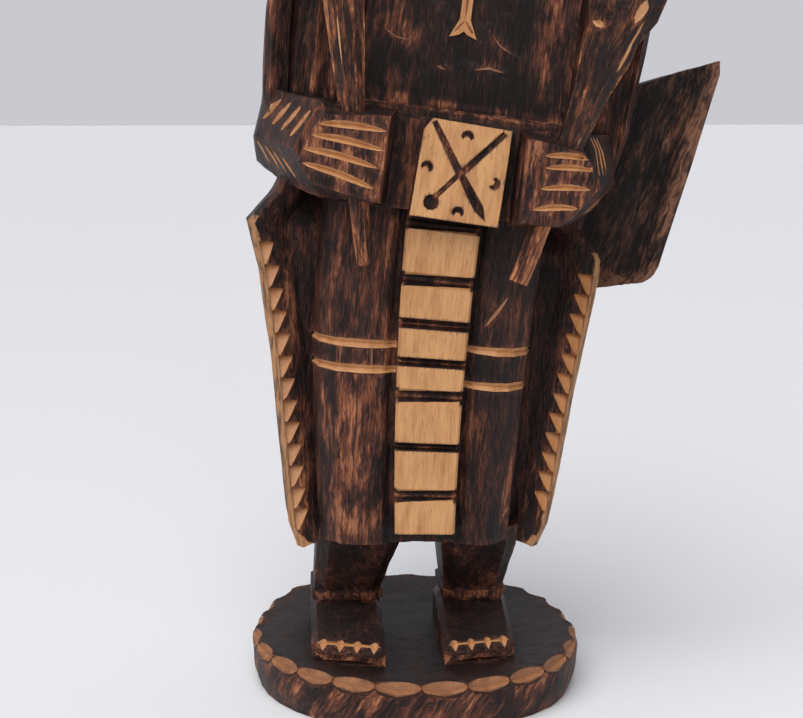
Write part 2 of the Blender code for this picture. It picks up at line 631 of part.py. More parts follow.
def feathers():
    # a low crown of broad upright feathers round a domed top
    levels = (  # height, spread, height of the feathers' tips, narrowing between the feathers
        (bandHigh - 0.004, 0.98, 0.0, 0.93), (bandHigh + 0.0100, 0.99, 0.0, 0.93),
        (totalHeight - 0.0130, 1.08, 0.0130, 0.93), (totalHeight - 0.0150, 0.93, 0.0100, 0.93),
        (totalHeight - 0.0200, 0.72, 0.0, 1.0),
        (totalHeight - 0.0185, 0.35, 0.0, 1.0))
    places = featherCount * 4
    rings = []
    for height, spread, tip, narrowing in levels:
        ring = []
        for index in range(places):
            turn = 2 * math.pi * (index + 2) / places
            share = (0.0, 0.78, 1.0, 0.78)[index % 4]
            reach = spread * (narrowing if index % 4 == 0 else 1.0)
            ring.append(Vector((0.0375 * reach * math.cos(turn), 0.0030 + 0.0425 * reach * math.sin(turn),
                                height + tip * share)))
        rings.append(ring)
    return loft("feathers", rings)


def bandChips():
    # a pale triangle in each facet of the headband
    corners = oval(bandHigh - 0.0030, *bandReach)
    cutters = []
    for start, end in zip(corners, corners[1:] + corners[:1]):
        place, side = (start + end) / 2, (end - start).normalized()
        outward = side.cross(Vector((0.0, 0.0, 1.0)))
        half = (end - start).length * 0.36
        points = [place + side * half + outward * 0.0010, place - side * half + outward * 0.0010,
                  place - Vector((0.0, 0.0, 0.0098)) + outward * 0.0010,
                  place - outward * 0.0018 - Vector((0.0, 0.0, 0.0020))]
        cutters.append(hull("band_chip", points))
    return cutters


def club(side, grow=0.0):
    # a whittled stick of eight faces
    lean, faces, corner = clubLean[side] * side, 8, 1.06
    along = Vector((math.sin(lean), 0.0, math.cos(lean)))
    across = Vector((math.cos(lean), 0.0, -math.sin(lean)))
    stations = clubStations[side]
    longer = {stations[0][0]: -0.002, stations[-1][0]: 0.002} if grow else {}
    rings = []
    for station, half, deep in stations:
        middle = Vector(clubStart[side]) + along * (station + longer.get(station, 0.0))
        turns = [math.pi * (2 * index + 1) / faces for index in range(faces)]
        rings.append([middle + across * (half + grow) * corner * math.cos(turn)
                      + Vector((0.0, (deep + grow) * corner * math.sin(turn), 0.0)) for turn in turns])
    return loft("club", rings)


def shield(acrossCount=8):
    # a curved plate: hollow towards the front, with a rim left at its outer edge and its foot
    rings = []
    for up, inset in shieldRows:
        left = shieldCorners["bottomLeft"].lerp(shieldCorners["topLeft"], up)
        right = shieldCorners["bottomRight"].lerp(shieldCorners["topRight"], up)
        right = right - (right - left).normalized() * inset
        footRim = min(max((up - shieldRim[0]) / (shieldRim[1] - shieldRim[0]), 0.0), 1.0)
        front, back = [], []
        for index in range(acrossCount + 1):
            place = left.lerp(right, index / acrossCount)
            edge = (right - place).length
            hollow = 0.0050 * min(max((edge - 0.0085) / 0.006, 0.0), 1.0) * footRim
            curve = 0.0130 * (1 - min(edge / 0.050, 1.0)) ** 2
            thick = 0.0040 + 0.0110 * min(edge / 0.040, 1.0) + 0.0040 * min(edge / 0.012, 1.0)
            front.append(place + Vector((0.0, shieldFront + hollow - curve * 1.1, 0.0)))
            back.append(place + Vector((0.0, shieldFront + thick - curve, 0.0)))
        rings.append(front + back[::-1])
    return loft("shield", rings)


def welded(item, reach=0.000001):
    # closes up the slivers that the cuts leave
    shape = bmesh.new()
    shape.from_mesh(item.data)
    bmesh.ops.remove_doubles(shape, verts=shape.verts[:], dist=2 * reach)
    bmesh.ops.triangulate(shape, faces=shape.faces[:])
    bmesh.ops.dissolve_degenerate(shape, edges=shape.edges[:], dist=reach)
    bmesh.ops.triangulate(shape, faces=shape.faces[:])
    shape.to_mesh(item.data)
    shape.free()


def finish(item, name):
    # names the piece and gives it its wood
    welded(item)
    item.name = name
    item.data.name = name
    wood = bpy.data.materials.new(name + "_wood")
    wood.use_nodes = True
    surface = wood.node_tree.nodes["Principled BSDF"]
    color, roughness = woods[name]
    surface.inputs["Base Color"].default_value = color
    surface.inputs["Roughness"].default_value = roughness
    surface.inputs["Metallic"].default_value = 0.0
    item.data.materials.clear()
    item.data.materials.append(wood)
    item.data.shade_smooth()
    item.data.set_sharp_from_angle(angle=math.radians(28))


def figure():
    body = cape()
    parts = [base(), apron(), rightFist(), leftFist(), plate(), chest(), feathers()]
    for side in (-1, 1):
        parts += [column(side), leg(side), foot(side), upperArm(side), sleeve(side)]
    parts += belt() + pendant() + head()
    combine(body, parts, "UNION")
    combine(body, eyeSockets(), "DIFFERENCE")
    combine(body, eyes() + features(), "UNION")
    surface = surfaceOf(body)
    cuts = teeth() + rimChips() + bandChips() + toes(-1) + toes(1)
    cuts += fingers(surface) + sleeveChips(surface) + plateCarving(surface)
    combine(body, cuts, "DIFFERENCE")
    welded(body, 0.00001)
    moved(body, leaned)
    bores = [club(side, gap) for side in (-1, 1)]
    for bore in bores:
        moved(bore, carried)
    combine(body, bores, "DIFFERENCE")
    return body


def main():
    clearScene()
    finish(figure(), "figure")
    for side, name in ((-1, "right_hand_club"), (1, "left_hand_club")):
        stick = club(side)
        moved(stick, carried)
        finish(stick, name)
    board = shield()
    clearance = cape("clearance", gap)
    moved(clearance, leaned)
    combine(board, [clearance], "DIFFERENCE")
    finish(board, "shield")


main()
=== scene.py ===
# A carved wooden warrior on a round base: stain, wear, pale knife cuts and tool marks
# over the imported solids, in metres, +Z up, the front towards -Y.
import math

import bmesh
import bpy
import numpy as np
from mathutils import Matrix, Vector
from mathutils.bvhtree import BVHTree


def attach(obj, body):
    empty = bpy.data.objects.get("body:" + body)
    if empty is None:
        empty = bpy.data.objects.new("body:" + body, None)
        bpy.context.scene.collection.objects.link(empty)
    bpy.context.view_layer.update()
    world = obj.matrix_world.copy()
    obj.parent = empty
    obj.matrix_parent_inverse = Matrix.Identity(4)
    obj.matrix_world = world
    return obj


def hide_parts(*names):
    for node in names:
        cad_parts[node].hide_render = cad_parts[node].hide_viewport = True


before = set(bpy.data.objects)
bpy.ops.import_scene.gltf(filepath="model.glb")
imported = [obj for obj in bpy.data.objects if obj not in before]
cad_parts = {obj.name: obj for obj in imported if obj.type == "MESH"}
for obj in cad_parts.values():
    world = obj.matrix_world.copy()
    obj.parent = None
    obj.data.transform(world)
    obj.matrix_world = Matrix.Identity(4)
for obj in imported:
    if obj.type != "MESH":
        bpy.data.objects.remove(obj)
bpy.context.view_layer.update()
print("frame loaded")

# The log is bent: everything is laid out straight and then leaned
logShape = {
    "leanSteps": ((0.0, 0.0), (0.050, 0.0), (0.250, 7.5), (0.350, 7.5), (0.400, 3.0), (0.600, 3.0)),
    "handHeight": 0.264,
    "step": 0.001,
    "length": 0.600,
}


def between(value, pairs):
    # straight-line reading between (position, size) pairs
    places, sizes = zip(*pairs)
    return float(np.interp(value, places, sizes))


def logLine():
    step = logShape["step"]
    line = [(0.0, 0.0)]
    for index in range(int(round(logShape["length"] / step))):
        angle = math.radians(between((index + 0.5) * step, logShape["leanSteps"]))
        line.append((line[-1][0] + step * math.sin(angle), line[-1][1] + step * math.cos(angle)))
    return np.array(line)


axisLine = logLine()
axisHeights = np.arange(len(axisLine)) * logShape["step"]


def leanAt(height):
    return math.radians(between(height, logShape["leanSteps"]))


def leaned(point):
    # carries a point of the straight figure to its place on the bent log
    point = Vector(point)
    if point.z <= 0.0:
        return point
    x, z = (float(np.interp(point.z, axisHeights, axisLine[:, column])) for column in (0, 1))
    angle = leanAt(point.z)
    return Vector((x + point.x * math.cos(angle), point.y, z - point.x * math.sin(angle)))


def leanedTurn(vector, height):
    angle = leanAt(height)
    vector = Vector(vector)
    return Vector((vector.x * math.cos(angle) + vector.z * math.sin(angle), vector.y,
                   vector.z * math.cos(angle) - vector.x * math.sin(angle)))


def carried(point):
    # the same move for a straight, stiff piece that is held at the hands
    height = logShape["handHeight"]
    return leaned((0.0, 0.0, height)) + leanedTurn(Vector(point) - Vector((0.0, 0.0, height)), height)


def straightened(places):
    # the way back, for an array of places: x across the log, y, and height along it
    steps = np.array(logShape["leanSteps"])
    height = np.interp(places[:, 2], axisLine[:, 1], axisHeights)
    for _ in range(4):
        angle = np.radians(np.interp(height, steps[:, 0], steps[:, 1]))
        x = (places[:, 0] - np.interp(height, axisHeights, axisLine[:, 0])) / np.cos(angle)
        height = np.interp(places[:, 2] + x * np.sin(angle), axisLine[:, 1], axisHeights)
    return np.stack([x, places[:, 1], height], axis=1)


# Helpers for meshes and node trees

def linked(name, mesh):
    item = bpy.data.objects.new(name, mesh)
    bpy.context.scene.collection.objects.link(item)
    return item


def evaluated(item):
    bpy.context.view_layer.update()
    return bpy.data.meshes.new_from_object(item.evaluated_get(bpy.context.evaluated_depsgraph_get()))


def skinOf(mesh):
    return BVHTree.FromPolygons([vert.co.copy() for vert in mesh.vertices],
                                [tuple(face.vertices) for face in mesh.polygons])


def placesOf(mesh, vectors="vertices", key="co"):
    flat = np.empty(len(getattr(mesh, vectors)) * 3)
    getattr(mesh, vectors).foreach_get(key, flat)
    return flat.reshape(-1, 3)


def numbersOf(items, key, width=1):
    # whole numbers of a mesh's corners, faces or edges
    numbers = np.empty(len(items) * width, int)
    items.foreach_get(key, numbers)
    return numbers


def reworked(mesh, *steps):
    # each step works on the mesh's editable form
    shape = bmesh.new()
    shape.from_mesh(mesh)
    for step in steps:
        step(shape)
    shape.to_mesh(mesh)
    shape.free()
    return mesh


def mergedBy(distance):
    return lambda shape: bmesh.ops.remove_doubles(shape, verts=shape.verts[:], dist=distance)


def turnedOut(shape):
    bmesh.ops.recalc_face_normals(shape, faces=shape.faces[:])


def wooded(mesh, *names):
    mesh.materials.clear()
    for name in names:
        mesh.materials.append(woods[name])
    return mesh


def filled(tree, made, inputs):
    for name, value in inputs.items():
        if isinstance(value, bpy.types.NodeSocket):
            tree.links.new(value, made.inputs[name])
        else:
            made.inputs[name].default_value = value
    return made


def node(tree, kind, inputs=None, **settings):
    made = tree.nodes.new(kind)
    for name, value in settings.items():
        setattr(made, name, value)
    return filled(tree, made, inputs or {})


def combine(tree, operation, *values, clamp=False):
    return node(tree, "ShaderNodeMath", dict(enumerate(values)), operation=operation,
                use_clamp=clamp).outputs[0]


def combineVectors(tree, operation, *values):
    return node(tree, "ShaderNodeVectorMath", dict(enumerate(values)), operation=operation).outputs[0]


def mixed(tree, factor, first, second):
    first, second = (value if isinstance(value, bpy.types.NodeSocket) else (*value, 1.0)
                     for value in (first, second))
    return node(tree, "ShaderNodeMix", {0: factor, 6: first, 7: second}, data_type="RGBA").outputs[2]


def ranged(tree, value, low, high, toLow=0.0, toHigh=1.0):
    return node(tree, "ShaderNodeMapRange", {0: value, 1: low, 2: high, 3: toLow, 4: toHigh},
                interpolation_type="SMOOTHSTEP").outputs[0]


def attribute(tree, name, output="Fac"):
    return node(tree, "ShaderNodeAttribute", attribute_name=name).outputs[output]


def newTree(name, kind, sockets):
    tree = bpy.data.node_groups.new(name, kind)
    for direction, socketName, socketKind, *value in sockets:
        socket = tree.interface.new_socket(socketName, in_out=direction,
                                           socket_type="NodeSocket" + socketKind)
        if value:
            socket.default_value = value[0]
    return tree, tree.nodes.new("NodeGroupInput").outputs, tree.nodes.new("NodeGroupOutput").inputs


def shaped(name, mesh, tree, values):
    # runs a Geometry Nodes tree on a mesh and gives back the plain result
    item = linked(name, mesh)
    modifier = item.modifiers.new(name, "NODES")
    modifier.node_group = tree
    for socket in tree.interface.items_tree:
        if socket.in_out == "INPUT" and socket.name in values:
            modifier[socket.identifier] = values[socket.name]
    made = evaluated(item)
    item.modifiers.remove(modifier)
    bpy.data.objects.remove(item, do_unlink=True)
    return made


# Shader groups

def streakGroup():
    # long soft streaks along the wood, between 0 and 1
    tree, given, result = newTree("woodStreaks", "ShaderNodeTree", (
        ("INPUT", "Vector", "Vector"), ("INPUT", "Width", "Float", 0.001), ("INPUT", "Length", "Float", 0.02),
        ("INPUT", "Low", "Float", 0.45), ("INPUT", "High", "Float", 0.60), ("INPUT", "Seed", "Float", 0.0),
        ("OUTPUT", "Mask", "Float")))
    across = combine(tree, "DIVIDE", 1.0, given["Width"])
    along = combine(tree, "DIVIDE", 1.0, given["Length"])
    scale = node(tree, "ShaderNodeCombineXYZ", {"X": across, "Y": across, "Z": along}).outputs[0]
    shift = node(tree, "ShaderNodeCombineXYZ", {"X": given["Seed"], "Z": given["Seed"]}).outputs[0]
    place = combineVectors(tree, "MULTIPLY_ADD", given["Vector"], scale, shift)
    bend = node(tree, "ShaderNodeTexNoise", {"Vector": place, "Scale": 0.35, "Detail": 1.0}).outputs["Color"]
    place = combineVectors(tree, "MULTIPLY_ADD", bend, (1.6, 1.6, 0.6), place)
    field = node(tree, "ShaderNodeTexNoise",
                 {"Vector": place, "Scale": 1.0, "Detail": 4.0, "Roughness": 0.62})
    tree.links.new(ranged(tree, field.outputs["Fac"], given["Low"], given["High"]), result["Mask"])
    return tree


def fibreGroup():
    # fine fibres and short dark pores
    tree, given, result = newTree("woodFibre", "ShaderNodeTree", (
        ("INPUT", "Vector", "Vector"), ("INPUT", "Fineness", "Float", 0.0003),
        ("OUTPUT", "Fibre", "Float"), ("OUTPUT", "Pores", "Float")))
    across = combine(tree, "DIVIDE", 1.0, given["Fineness"])
    along = combine(tree, "MULTIPLY", across, 0.055)
    scale = node(tree, "ShaderNodeCombineXYZ", {"X": across, "Y": across, "Z": along}).outputs[0]
    place = combineVectors(tree, "MULTIPLY", given["Vector"], scale)
    fibre = node(tree, "ShaderNodeTexNoise", {"Vector": place, "Scale": 0.8, "Detail": 3.0, "Roughness": 0.6})
    dots = node(tree, "ShaderNodeTexVoronoi", {"Vector": place, "Scale": 0.34}).outputs["Distance"]
    patches = node(tree, "ShaderNodeTexNoise", {"Vector": given["Vector"], "Scale": 260.0, "Detail": 2.0})
    pores = combine(tree, "MULTIPLY", ranged(tree, dots, 0.10, 0.24, 1.0, 0.0),
                    ranged(tree, patches.outputs["Fac"], 0.42, 0.62))
    tree.links.new(fibre.outputs["Fac"], result["Fibre"])
    tree.links.new(pores, result["Pores"])
    return tree


def rubbedGroup():
    # how far the stain is worn off: along edges and on rubbed places, broken up by the streaks; along the
    # edges the pale line is also a painted highlight, in place of rounded edges catching the light
    tree, given, result = newTree("rubbedAway", "ShaderNodeTree", (
        ("INPUT", "Edge", "Float", 0.0), ("INPUT", "Edge Strength", "Float", 0.6),
        ("INPUT", "Rub", "Float", 0.0),
        ("INPUT", "Streak", "Float", 0.0), ("INPUT", "Fine", "Float", 0.0), ("OUTPUT", "Mask", "Float")))
    broken = combine(tree, "MULTIPLY_ADD", given["Fine"], 0.7, 0.3)
    edge = combine(tree, "MULTIPLY", combine(tree, "MULTIPLY", given["Edge"], given["Edge Strength"]), broken)
    area = combine(tree, "MULTIPLY", given["Rub"], given["Streak"])
    tree.links.new(combine(tree, "ADD", edge, area, clamp=True), result["Mask"])
    return tree


groups = {"streaks": streakGroup(), "fibre": fibreGroup(), "rubbed": rubbedGroup()}


def masked(tree, name, output, **inputs):
    # one output of a shared group, with this material's own values
    inputs = {key.replace("_", " "): value for key, value in inputs.items()}
    return filled(tree, node(tree, "ShaderNodeGroup", node_tree=groups[name]), inputs).outputs[output]


# Woods: colours are linear; widths and lengths of streaks are in metres

woodLooks = {
    "figureStain": {
        "ramp": ((0.00, (0.0060, 0.0036, 0.0036)), (0.24, (0.0135, 0.0066, 0.0058)),
                 (0.42, (0.0460, 0.0170, 0.0115)), (0.58, (0.0940, 0.0310, 0.0185)),
                 (0.80, (0.1850, 0.0620, 0.0310)), (1.00, (0.3700, 0.1500, 0.0700))),
        "bare": (0.450, 0.225, 0.098), "edgeWearAndHighlight": 0.95, "roughness": 0.44, "bump": 0.80, "base": 0.19,
    },
    "clubStain": {
        "ramp": ((0.00, (0.0070, 0.0038, 0.0036)), (0.24, (0.0150, 0.0072, 0.0060)),
                 (0.42, (0.0560, 0.0215, 0.0130)), (0.58, (0.1250, 0.0400, 0.0195)),
                 (0.80, (0.2600, 0.0880, 0.0370)), (1.00, (0.5000, 0.2150, 0.0950))),
        "bare": (0.500, 0.265, 0.115), "edgeWearAndHighlight": 1.60, "roughness": 0.44, "bump": 0.85, "base": 0.19,
    },
    "shieldStain": {
        "ramp": ((0.00, (0.0075, 0.0058, 0.0060)), (0.35, (0.0135, 0.0090, 0.0085)),
                 (0.50, (0.0420, 0.0220, 0.0165)), (0.72, (0.1150, 0.0500, 0.0320)),
                 (1.00, (0.2500, 0.1200, 0.0700))),
        "bare": (0.540, 0.295, 0.130), "edgeWearAndHighlight": 0.60, "roughness": 0.48, "bump": 0.70, "base": 0.26,
    },
}


def ramped(tree, value, stops):
    # a colour from a value, through given stops
    made = node(tree, "ShaderNodeValToRGB", {"Fac": value})
    marks = made.color_ramp.elements
    marks[0].position, marks[1].position = stops[0][0], stops[-1][0]
    marks[0].color, marks[1].color = (*stops[0][1], 1.0), (*stops[-1][1], 1.0)
    for position, color in stops[1:-1]:
        marks.new(position).color = (*color, 1.0)
    return made.outputs["Color"]


def newWood(name):
    wood = bpy.data.materials.new(name)
    wood.use_nodes = True
    tree = wood.node_tree
    return wood, tree, tree.nodes["Principled BSDF"], attribute(tree, "logPlace", "Vector")


def streaked(tree, place, width, length, low, high, seed):
    return masked(tree, "streaks", "Mask", Vector=place, Width=width, Length=length, Low=low, High=high,
                  Seed=seed)


def bumped(tree, surface, strength, distance, height):
    bump = node(tree, "ShaderNodeBump", {"Strength": strength, "Distance": distance, "Height": height})
    tree.links.new(bump.outputs["Normal"], surface.inputs["Normal"])


def stained(name, look):
    wood, tree, surface, place = newWood(name)
    edge, rub = attribute(tree, "edge"), attribute(tree, "rub")
    patch = streaked(tree, place, 0.0110, 0.030, 0.38, 0.62, 0.0)
    broad = streaked(tree, place, 0.0024, 0.018, 0.36, 0.64, 9.0)
    fine = streaked(tree, place, 0.0009, 0.0070, 0.34, 0.66, 3.0)
    hair = streaked(tree, place, 0.00038, 0.0050, 0.32, 0.68, 7.0)
    streak = combine(tree, "MULTIPLY", combine(tree, "MULTIPLY_ADD", patch, 0.75, 0.25),
                     combine(tree, "MULTIPLY_ADD", broad, 0.60, 0.40))
    # the edge line is partly worn stain and partly a painted highlight along convex edges
    worn = masked(tree, "rubbed", "Mask", Edge=edge, Edge_Strength=look["edgeWearAndHighlight"],
                  Rub=rub, Streak=streak,
                  Fine=fine)
    tone = combine(tree, "MULTIPLY_ADD", worn, 0.60, look["base"])
    for mask, amount in ((patch, 0.14), (fine, 0.20), (broad, 0.13), (hair, 0.33)):
        tone = combine(tree, "MULTIPLY_ADD", combine(tree, "SUBTRACT", mask, 0.5), amount, tone)
    color = ramped(tree, tone, look["ramp"])
    bare = combine(tree, "MULTIPLY_ADD", broad, 0.22, combine(
        tree, "MULTIPLY_ADD", hair, 0.10, attribute(tree, "bare")))
    color = mixed(tree, ranged(tree, bare, 0.42, 0.74), color, look["bare"])
    tree.links.new(color, surface.inputs["Base Color"])
    rough = combine(tree, "MULTIPLY_ADD", hair, 0.14, look["roughness"] - 0.06)
    rough = combine(tree, "MULTIPLY_ADD", worn, 0.14, rough)
    tree.links.new(rough, surface.inputs["Roughness"])
    height = combine(tree, "MULTIPLY_ADD", fine, 0.7, combine(tree, "MULTIPLY_ADD", hair, 0.45,
                                                              combine(tree, "MULTIPLY", broad, 0.7)))
    bumped(tree, surface, look["bump"], 0.00032, height)
    surface.inputs["Specular IOR Level"].default_value = 0.23
    return wood


cutLooks = {
    "paleCut": {"light": (0.555, 0.285, 0.122), "dark": (0.400, 0.165, 0.058), "stainAt": 0.50,
                "stain": (0.170, 0.065, 0.027), "roughness": 0.46, "bump": 0.30, "pores": 0.25},
    "toothCut": {"light": (0.505, 0.235, 0.082), "dark": (0.385, 0.148, 0.046), "stainAt": 0.60,
                 "stain": (0.170, 0.065, 0.027), "roughness": 0.44, "bump": 0.25, "pores": 0.15},
    "rimCut": {"light": (0.360, 0.155, 0.064), "dark": (0.170, 0.066, 0.029), "stainAt": 0.30,
               "stain": (0.070, 0.027, 0.014), "roughness": 0.46, "bump": 0.40, "pores": 0.50},
    "panelWood": {"light": (0.575, 0.300, 0.120), "dark": (0.380, 0.162, 0.055), "stainAt": 0.38,
                  "stain": (0.150, 0.065, 0.030), "roughness": 0.52, "bump": 0.45, "pores": 0.95},
}


def bareWood(name, look):
    # pale wood under the knife: fibres, pores, and stain that has crept in at its borders
    wood, tree, surface, place = newWood(name)
    broad = streaked(tree, place, 0.0050, 0.024, 0.35, 0.68, 11.0)
    fine = streaked(tree, place, 0.0007, 0.012, 0.35, 0.68, 5.0)
    fibre = masked(tree, "fibre", "Fibre", Vector=place, Fineness=0.00026)
    pores = masked(tree, "fibre", "Pores", Vector=place, Fineness=0.00026)
    shade = combine(tree, "MULTIPLY_ADD", broad, 0.55, combine(tree, "MULTIPLY", fine, 0.45), clamp=True)
    color = mixed(tree, shade, look["light"], look["dark"])
    color = mixed(tree, combine(tree, "MULTIPLY", pores, look["pores"]), color, (0.150, 0.065, 0.030))
    crept = combine(tree, "MULTIPLY_ADD", fine, 0.35, attribute(tree, "border"))
    crept = ranged(tree, crept, look["stainAt"], look["stainAt"] + 0.45, 0.0, 0.85)
    color = mixed(tree, crept, color, look["stain"])
    tree.links.new(color, surface.inputs["Base Color"])
    tree.links.new(combine(tree, "MULTIPLY_ADD", fine, 0.10, look["roughness"]), surface.inputs["Roughness"])
    height = combine(tree, "MULTIPLY_ADD", fibre, 0.6, combine(tree, "MULTIPLY", pores, -0.8))
    bumped(tree, surface, look["bump"], 0.00018, height)
    return wood


woods = {name: stained(name, look) for name, look in woodLooks.items()}
woods.update({name: bareWood(name, look) for name, look in cutLooks.items()})
print("woods mixed")


# Geometry Nodes: knife cuts along paths, notches on points, and the hand finish

def stored(tree, name, kind):
    made = node(tree, "GeometryNodeInputNamedAttribute", {"Name": name}, data_type=kind)
    return made.outputs["Attribute"]


def leafCutTree():
    # a tapering gouge-shaped cutter along each path; half-width and outward direction come with the points
    tree, given, result = newTree("knifeCuts", "GeometryNodeTree", (
        ("INPUT", "Geometry", "Geometry"), ("INPUT", "Depth", "Float", 1.2), ("INPUT", "Lift", "Float", 0.8),
        ("INPUT", "Material", "Material"), ("OUTPUT", "Geometry", "Geometry")))
    path = node(tree, "GeometryNodeMeshToCurve", {"Mesh": given["Geometry"]}).outputs[0]
    path = node(tree, "GeometryNodeSetCurveNormal", {
        "Curve": path, "Normal": stored(tree, "outward", "FLOAT_VECTOR")}, mode="FREE").outputs[0]
    profile = node(tree, "GeometryNodeCurvePrimitiveCircle", {"Resolution": 8, "Radius": 1.0}).outputs[0]
    spot = node(tree, "ShaderNodeSeparateXYZ",
                {0: node(tree, "GeometryNodeInputPosition").outputs[0]}).outputs
    share = combine(tree, "SUBTRACT", 1.0, combine(tree, "ABSOLUTE", spot["Y"]), clamp=True)
    deep = combine(tree, "MULTIPLY", combine(tree, "POWER", share, 0.75), given["Depth"])
    raised = combine(tree, "GREATER_THAN", spot["X"], 0.01)
    below = combine(tree, "LESS_THAN", spot["X"], -0.01)
    height = combine(tree, "SUBTRACT", combine(tree, "MULTIPLY", raised, given["Lift"]),
                     combine(tree, "MULTIPLY", below, deep))
    wide = combine(tree, "MULTIPLY", spot["Y"], combine(tree, "MULTIPLY_ADD", raised, 0.75, 1.0))
    shape = node(tree, "ShaderNodeCombineXYZ", {"X": height, "Y": wide}).outputs[0]
    profile = node(tree, "GeometryNodeSetPosition", {"Geometry": profile, "Position": shape}).outputs[0]
    body = node(tree, "GeometryNodeCurveToMesh", {
        "Curve": path, "Profile Curve": profile, "Scale": stored(tree, "half", "FLOAT"),
        "Fill Caps": True}).outputs[0]
    body = node(tree, "GeometryNodeSetMaterial", {"Geometry": body, "Material": given["Material"]}).outputs[0]
    tree.links.new(body, result["Geometry"])
    return tree


def notchTree():
    # the same notch set on every point, turned, sized and sheared as the point says
    tree, given, result = newTree("notches", "GeometryNodeTree", (
        ("INPUT", "Geometry", "Geometry"), ("INPUT", "Cutter", "Object"), ("INPUT", "Material", "Material"),
        ("OUTPUT", "Geometry", "Geometry")))
    cutter = node(tree, "GeometryNodeObjectInfo", {"Object": given["Cutter"]}).outputs["Geometry"]
    euler = node(tree, "ShaderNodeCombineXYZ", {"Z": stored(tree, "turn", "FLOAT")}).outputs[0]
    turned = node(tree, "FunctionNodeEulerToRotation", {0: euler}).outputs[0]
    points = node(tree, "GeometryNodeInstanceOnPoints", {
        "Points": given["Geometry"], "Instance": cutter, "Rotation": turned,
        "Scale": stored(tree, "size", "FLOAT_VECTOR")}).outputs[0]
    solid = node(tree, "GeometryNodeRealizeInstances", {0: points}).outputs[0]
    spot = node(tree, "ShaderNodeSeparateXYZ",
                {0: node(tree, "GeometryNodeInputPosition").outputs[0]}).outputs
    drop = combine(tree, "SUBTRACT", spot["Z"], stored(tree, "top", "FLOAT"))
    shear = combine(tree, "MULTIPLY", drop, stored(tree, "slope", "FLOAT"))
    shear = node(tree, "ShaderNodeCombineXYZ", {"X": shear}).outputs[0]
    solid = node(tree, "GeometryNodeSetPosition", {"Geometry": solid, "Offset": shear}).outputs[0]
    solid = node(tree, "GeometryNodeSetMaterial",
                 {"Geometry": solid, "Material": given["Material"]}).outputs[0]
    tree.links.new(solid, result["Geometry"])
    return tree


def handFinishTree():
    # softens what isn't a cut edge, adds shallow tool marks inwards, and notes where edges stand out; the
    # woods paint that as worn stain and as a painted edge highlight
    tree, given, result = newTree("handFinish", "GeometryNodeTree", (
        ("INPUT", "Geometry", "Geometry"), ("INPUT", "Crease Angle", "Float", 0.5),
        ("INPUT", "Softening", "Int", 8), ("INPUT", "Mark Depth", "Float", 0.0003),
        ("INPUT", "Mark Width", "Float", 0.006), ("INPUT", "Mark Length", "Float", 0.03),
        ("OUTPUT", "Geometry", "Geometry")))
    angles = node(tree, "GeometryNodeInputMeshEdgeAngle").outputs
    creased = combine(tree, "GREATER_THAN", angles["Unsigned Angle"], given["Crease Angle"])
    creased = node(tree, "GeometryNodeFieldOnDomain", {0: creased}, domain="EDGE").outputs[0]
    held = ranged(tree, creased, 0.0, 0.02)
    convex = ranged(tree, angles["Signed Angle"], 0.35, 0.95)
    convex = node(tree, "GeometryNodeFieldOnDomain", {0: convex}, domain="EDGE").outputs[0]
    convex = combine(tree, "MULTIPLY", convex, 3.2, clamp=True)
    convex = node(tree, "GeometryNodeBlurAttribute", {0: convex, "Iterations": 1, "Weight": 0.6}).outputs[0]
    shape = node(tree, "GeometryNodeStoreNamedAttribute", {
        "Geometry": given["Geometry"], "Name": "edge", "Value": convex}, data_type="FLOAT", domain="POINT")
    spot = node(tree, "GeometryNodeInputPosition").outputs[0]
    soft = node(tree, "GeometryNodeBlurAttribute", data_type="FLOAT_VECTOR")
    filled(tree, soft, {"Value": spot, "Iterations": given["Softening"],
                        "Weight": combine(tree, "SUBTRACT", 0.9, held, clamp=True)})
    shape = node(tree, "GeometryNodeSetPosition", {"Geometry": shape.outputs[0],
                                                   "Position": soft.outputs[0]}).outputs[0]
    place, amount = stored(tree, "logPlace", "FLOAT_VECTOR"), stored(tree, "marks", "FLOAT")
    across = combine(tree, "DIVIDE", 1.0, given["Mark Width"])
    scale = node(tree, "ShaderNodeCombineXYZ", {
        "X": across, "Y": across, "Z": combine(tree, "DIVIDE", 1.0, given["Mark Length"])}).outputs[0]
    place = combineVectors(tree, "MULTIPLY", place, scale)
    facets = node(tree, "ShaderNodeTexVoronoi", {"Vector": place, "Scale": 1.0}, feature="SMOOTH_F1")
    facets.inputs["Smoothness"].default_value = 0.25
    waves = node(tree, "ShaderNodeTexNoise", {"Vector": place, "Scale": 0.8, "Detail": 3.0})
    marks = combine(tree, "MULTIPLY_ADD", waves.outputs["Fac"], 0.8,
                    combine(tree, "SUBTRACT", 0.55, facets.outputs["Distance"]))
    deep = combine(tree, "MULTIPLY", combine(tree, "MULTIPLY", marks, amount),
                   combine(tree, "MULTIPLY", given["Mark Depth"], -1.0))
    offset = combineVectors(tree, "SCALE", node(tree, "GeometryNodeInputNormal").outputs[0])
    tree.links.new(deep, offset.node.inputs["Scale"])
    shape = node(tree, "GeometryNodeSetPosition", {"Geometry": shape, "Offset": offset}).outputs[0]
    tree.links.new(shape, result["Geometry"])
    return tree


trees = {"leaf": leafCutTree(), "notch": notchTree(), "finish": handFinishTree()}


# Cutters: straight-figure places are pressed onto the figure's own surface

def mergedCopy(name):
    # a CAD mesh is loose triangles, so a copy of it is welded
    shape = bmesh.new()
    shape.from_mesh(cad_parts[name].data)
    mergedBy(0.000002)(shape)
    mesh = bpy.data.meshes.new(name + "Copy")
    shape.to_mesh(mesh)
    shape.free()
    for attributeName in [item.name for item in mesh.attributes
                          if not item.is_internal and not item.is_required and item.name != "position"]:
        mesh.attributes.remove(mesh.attributes[attributeName])
    return mesh


figureMesh = mergedCopy("figure")
figureSkin = skinOf(figureMesh)


def seenPlace(start, aim, skin):
    place, normal, _, _ = skin.ray_cast(start, aim)
    return None if place is None else (place, normal)


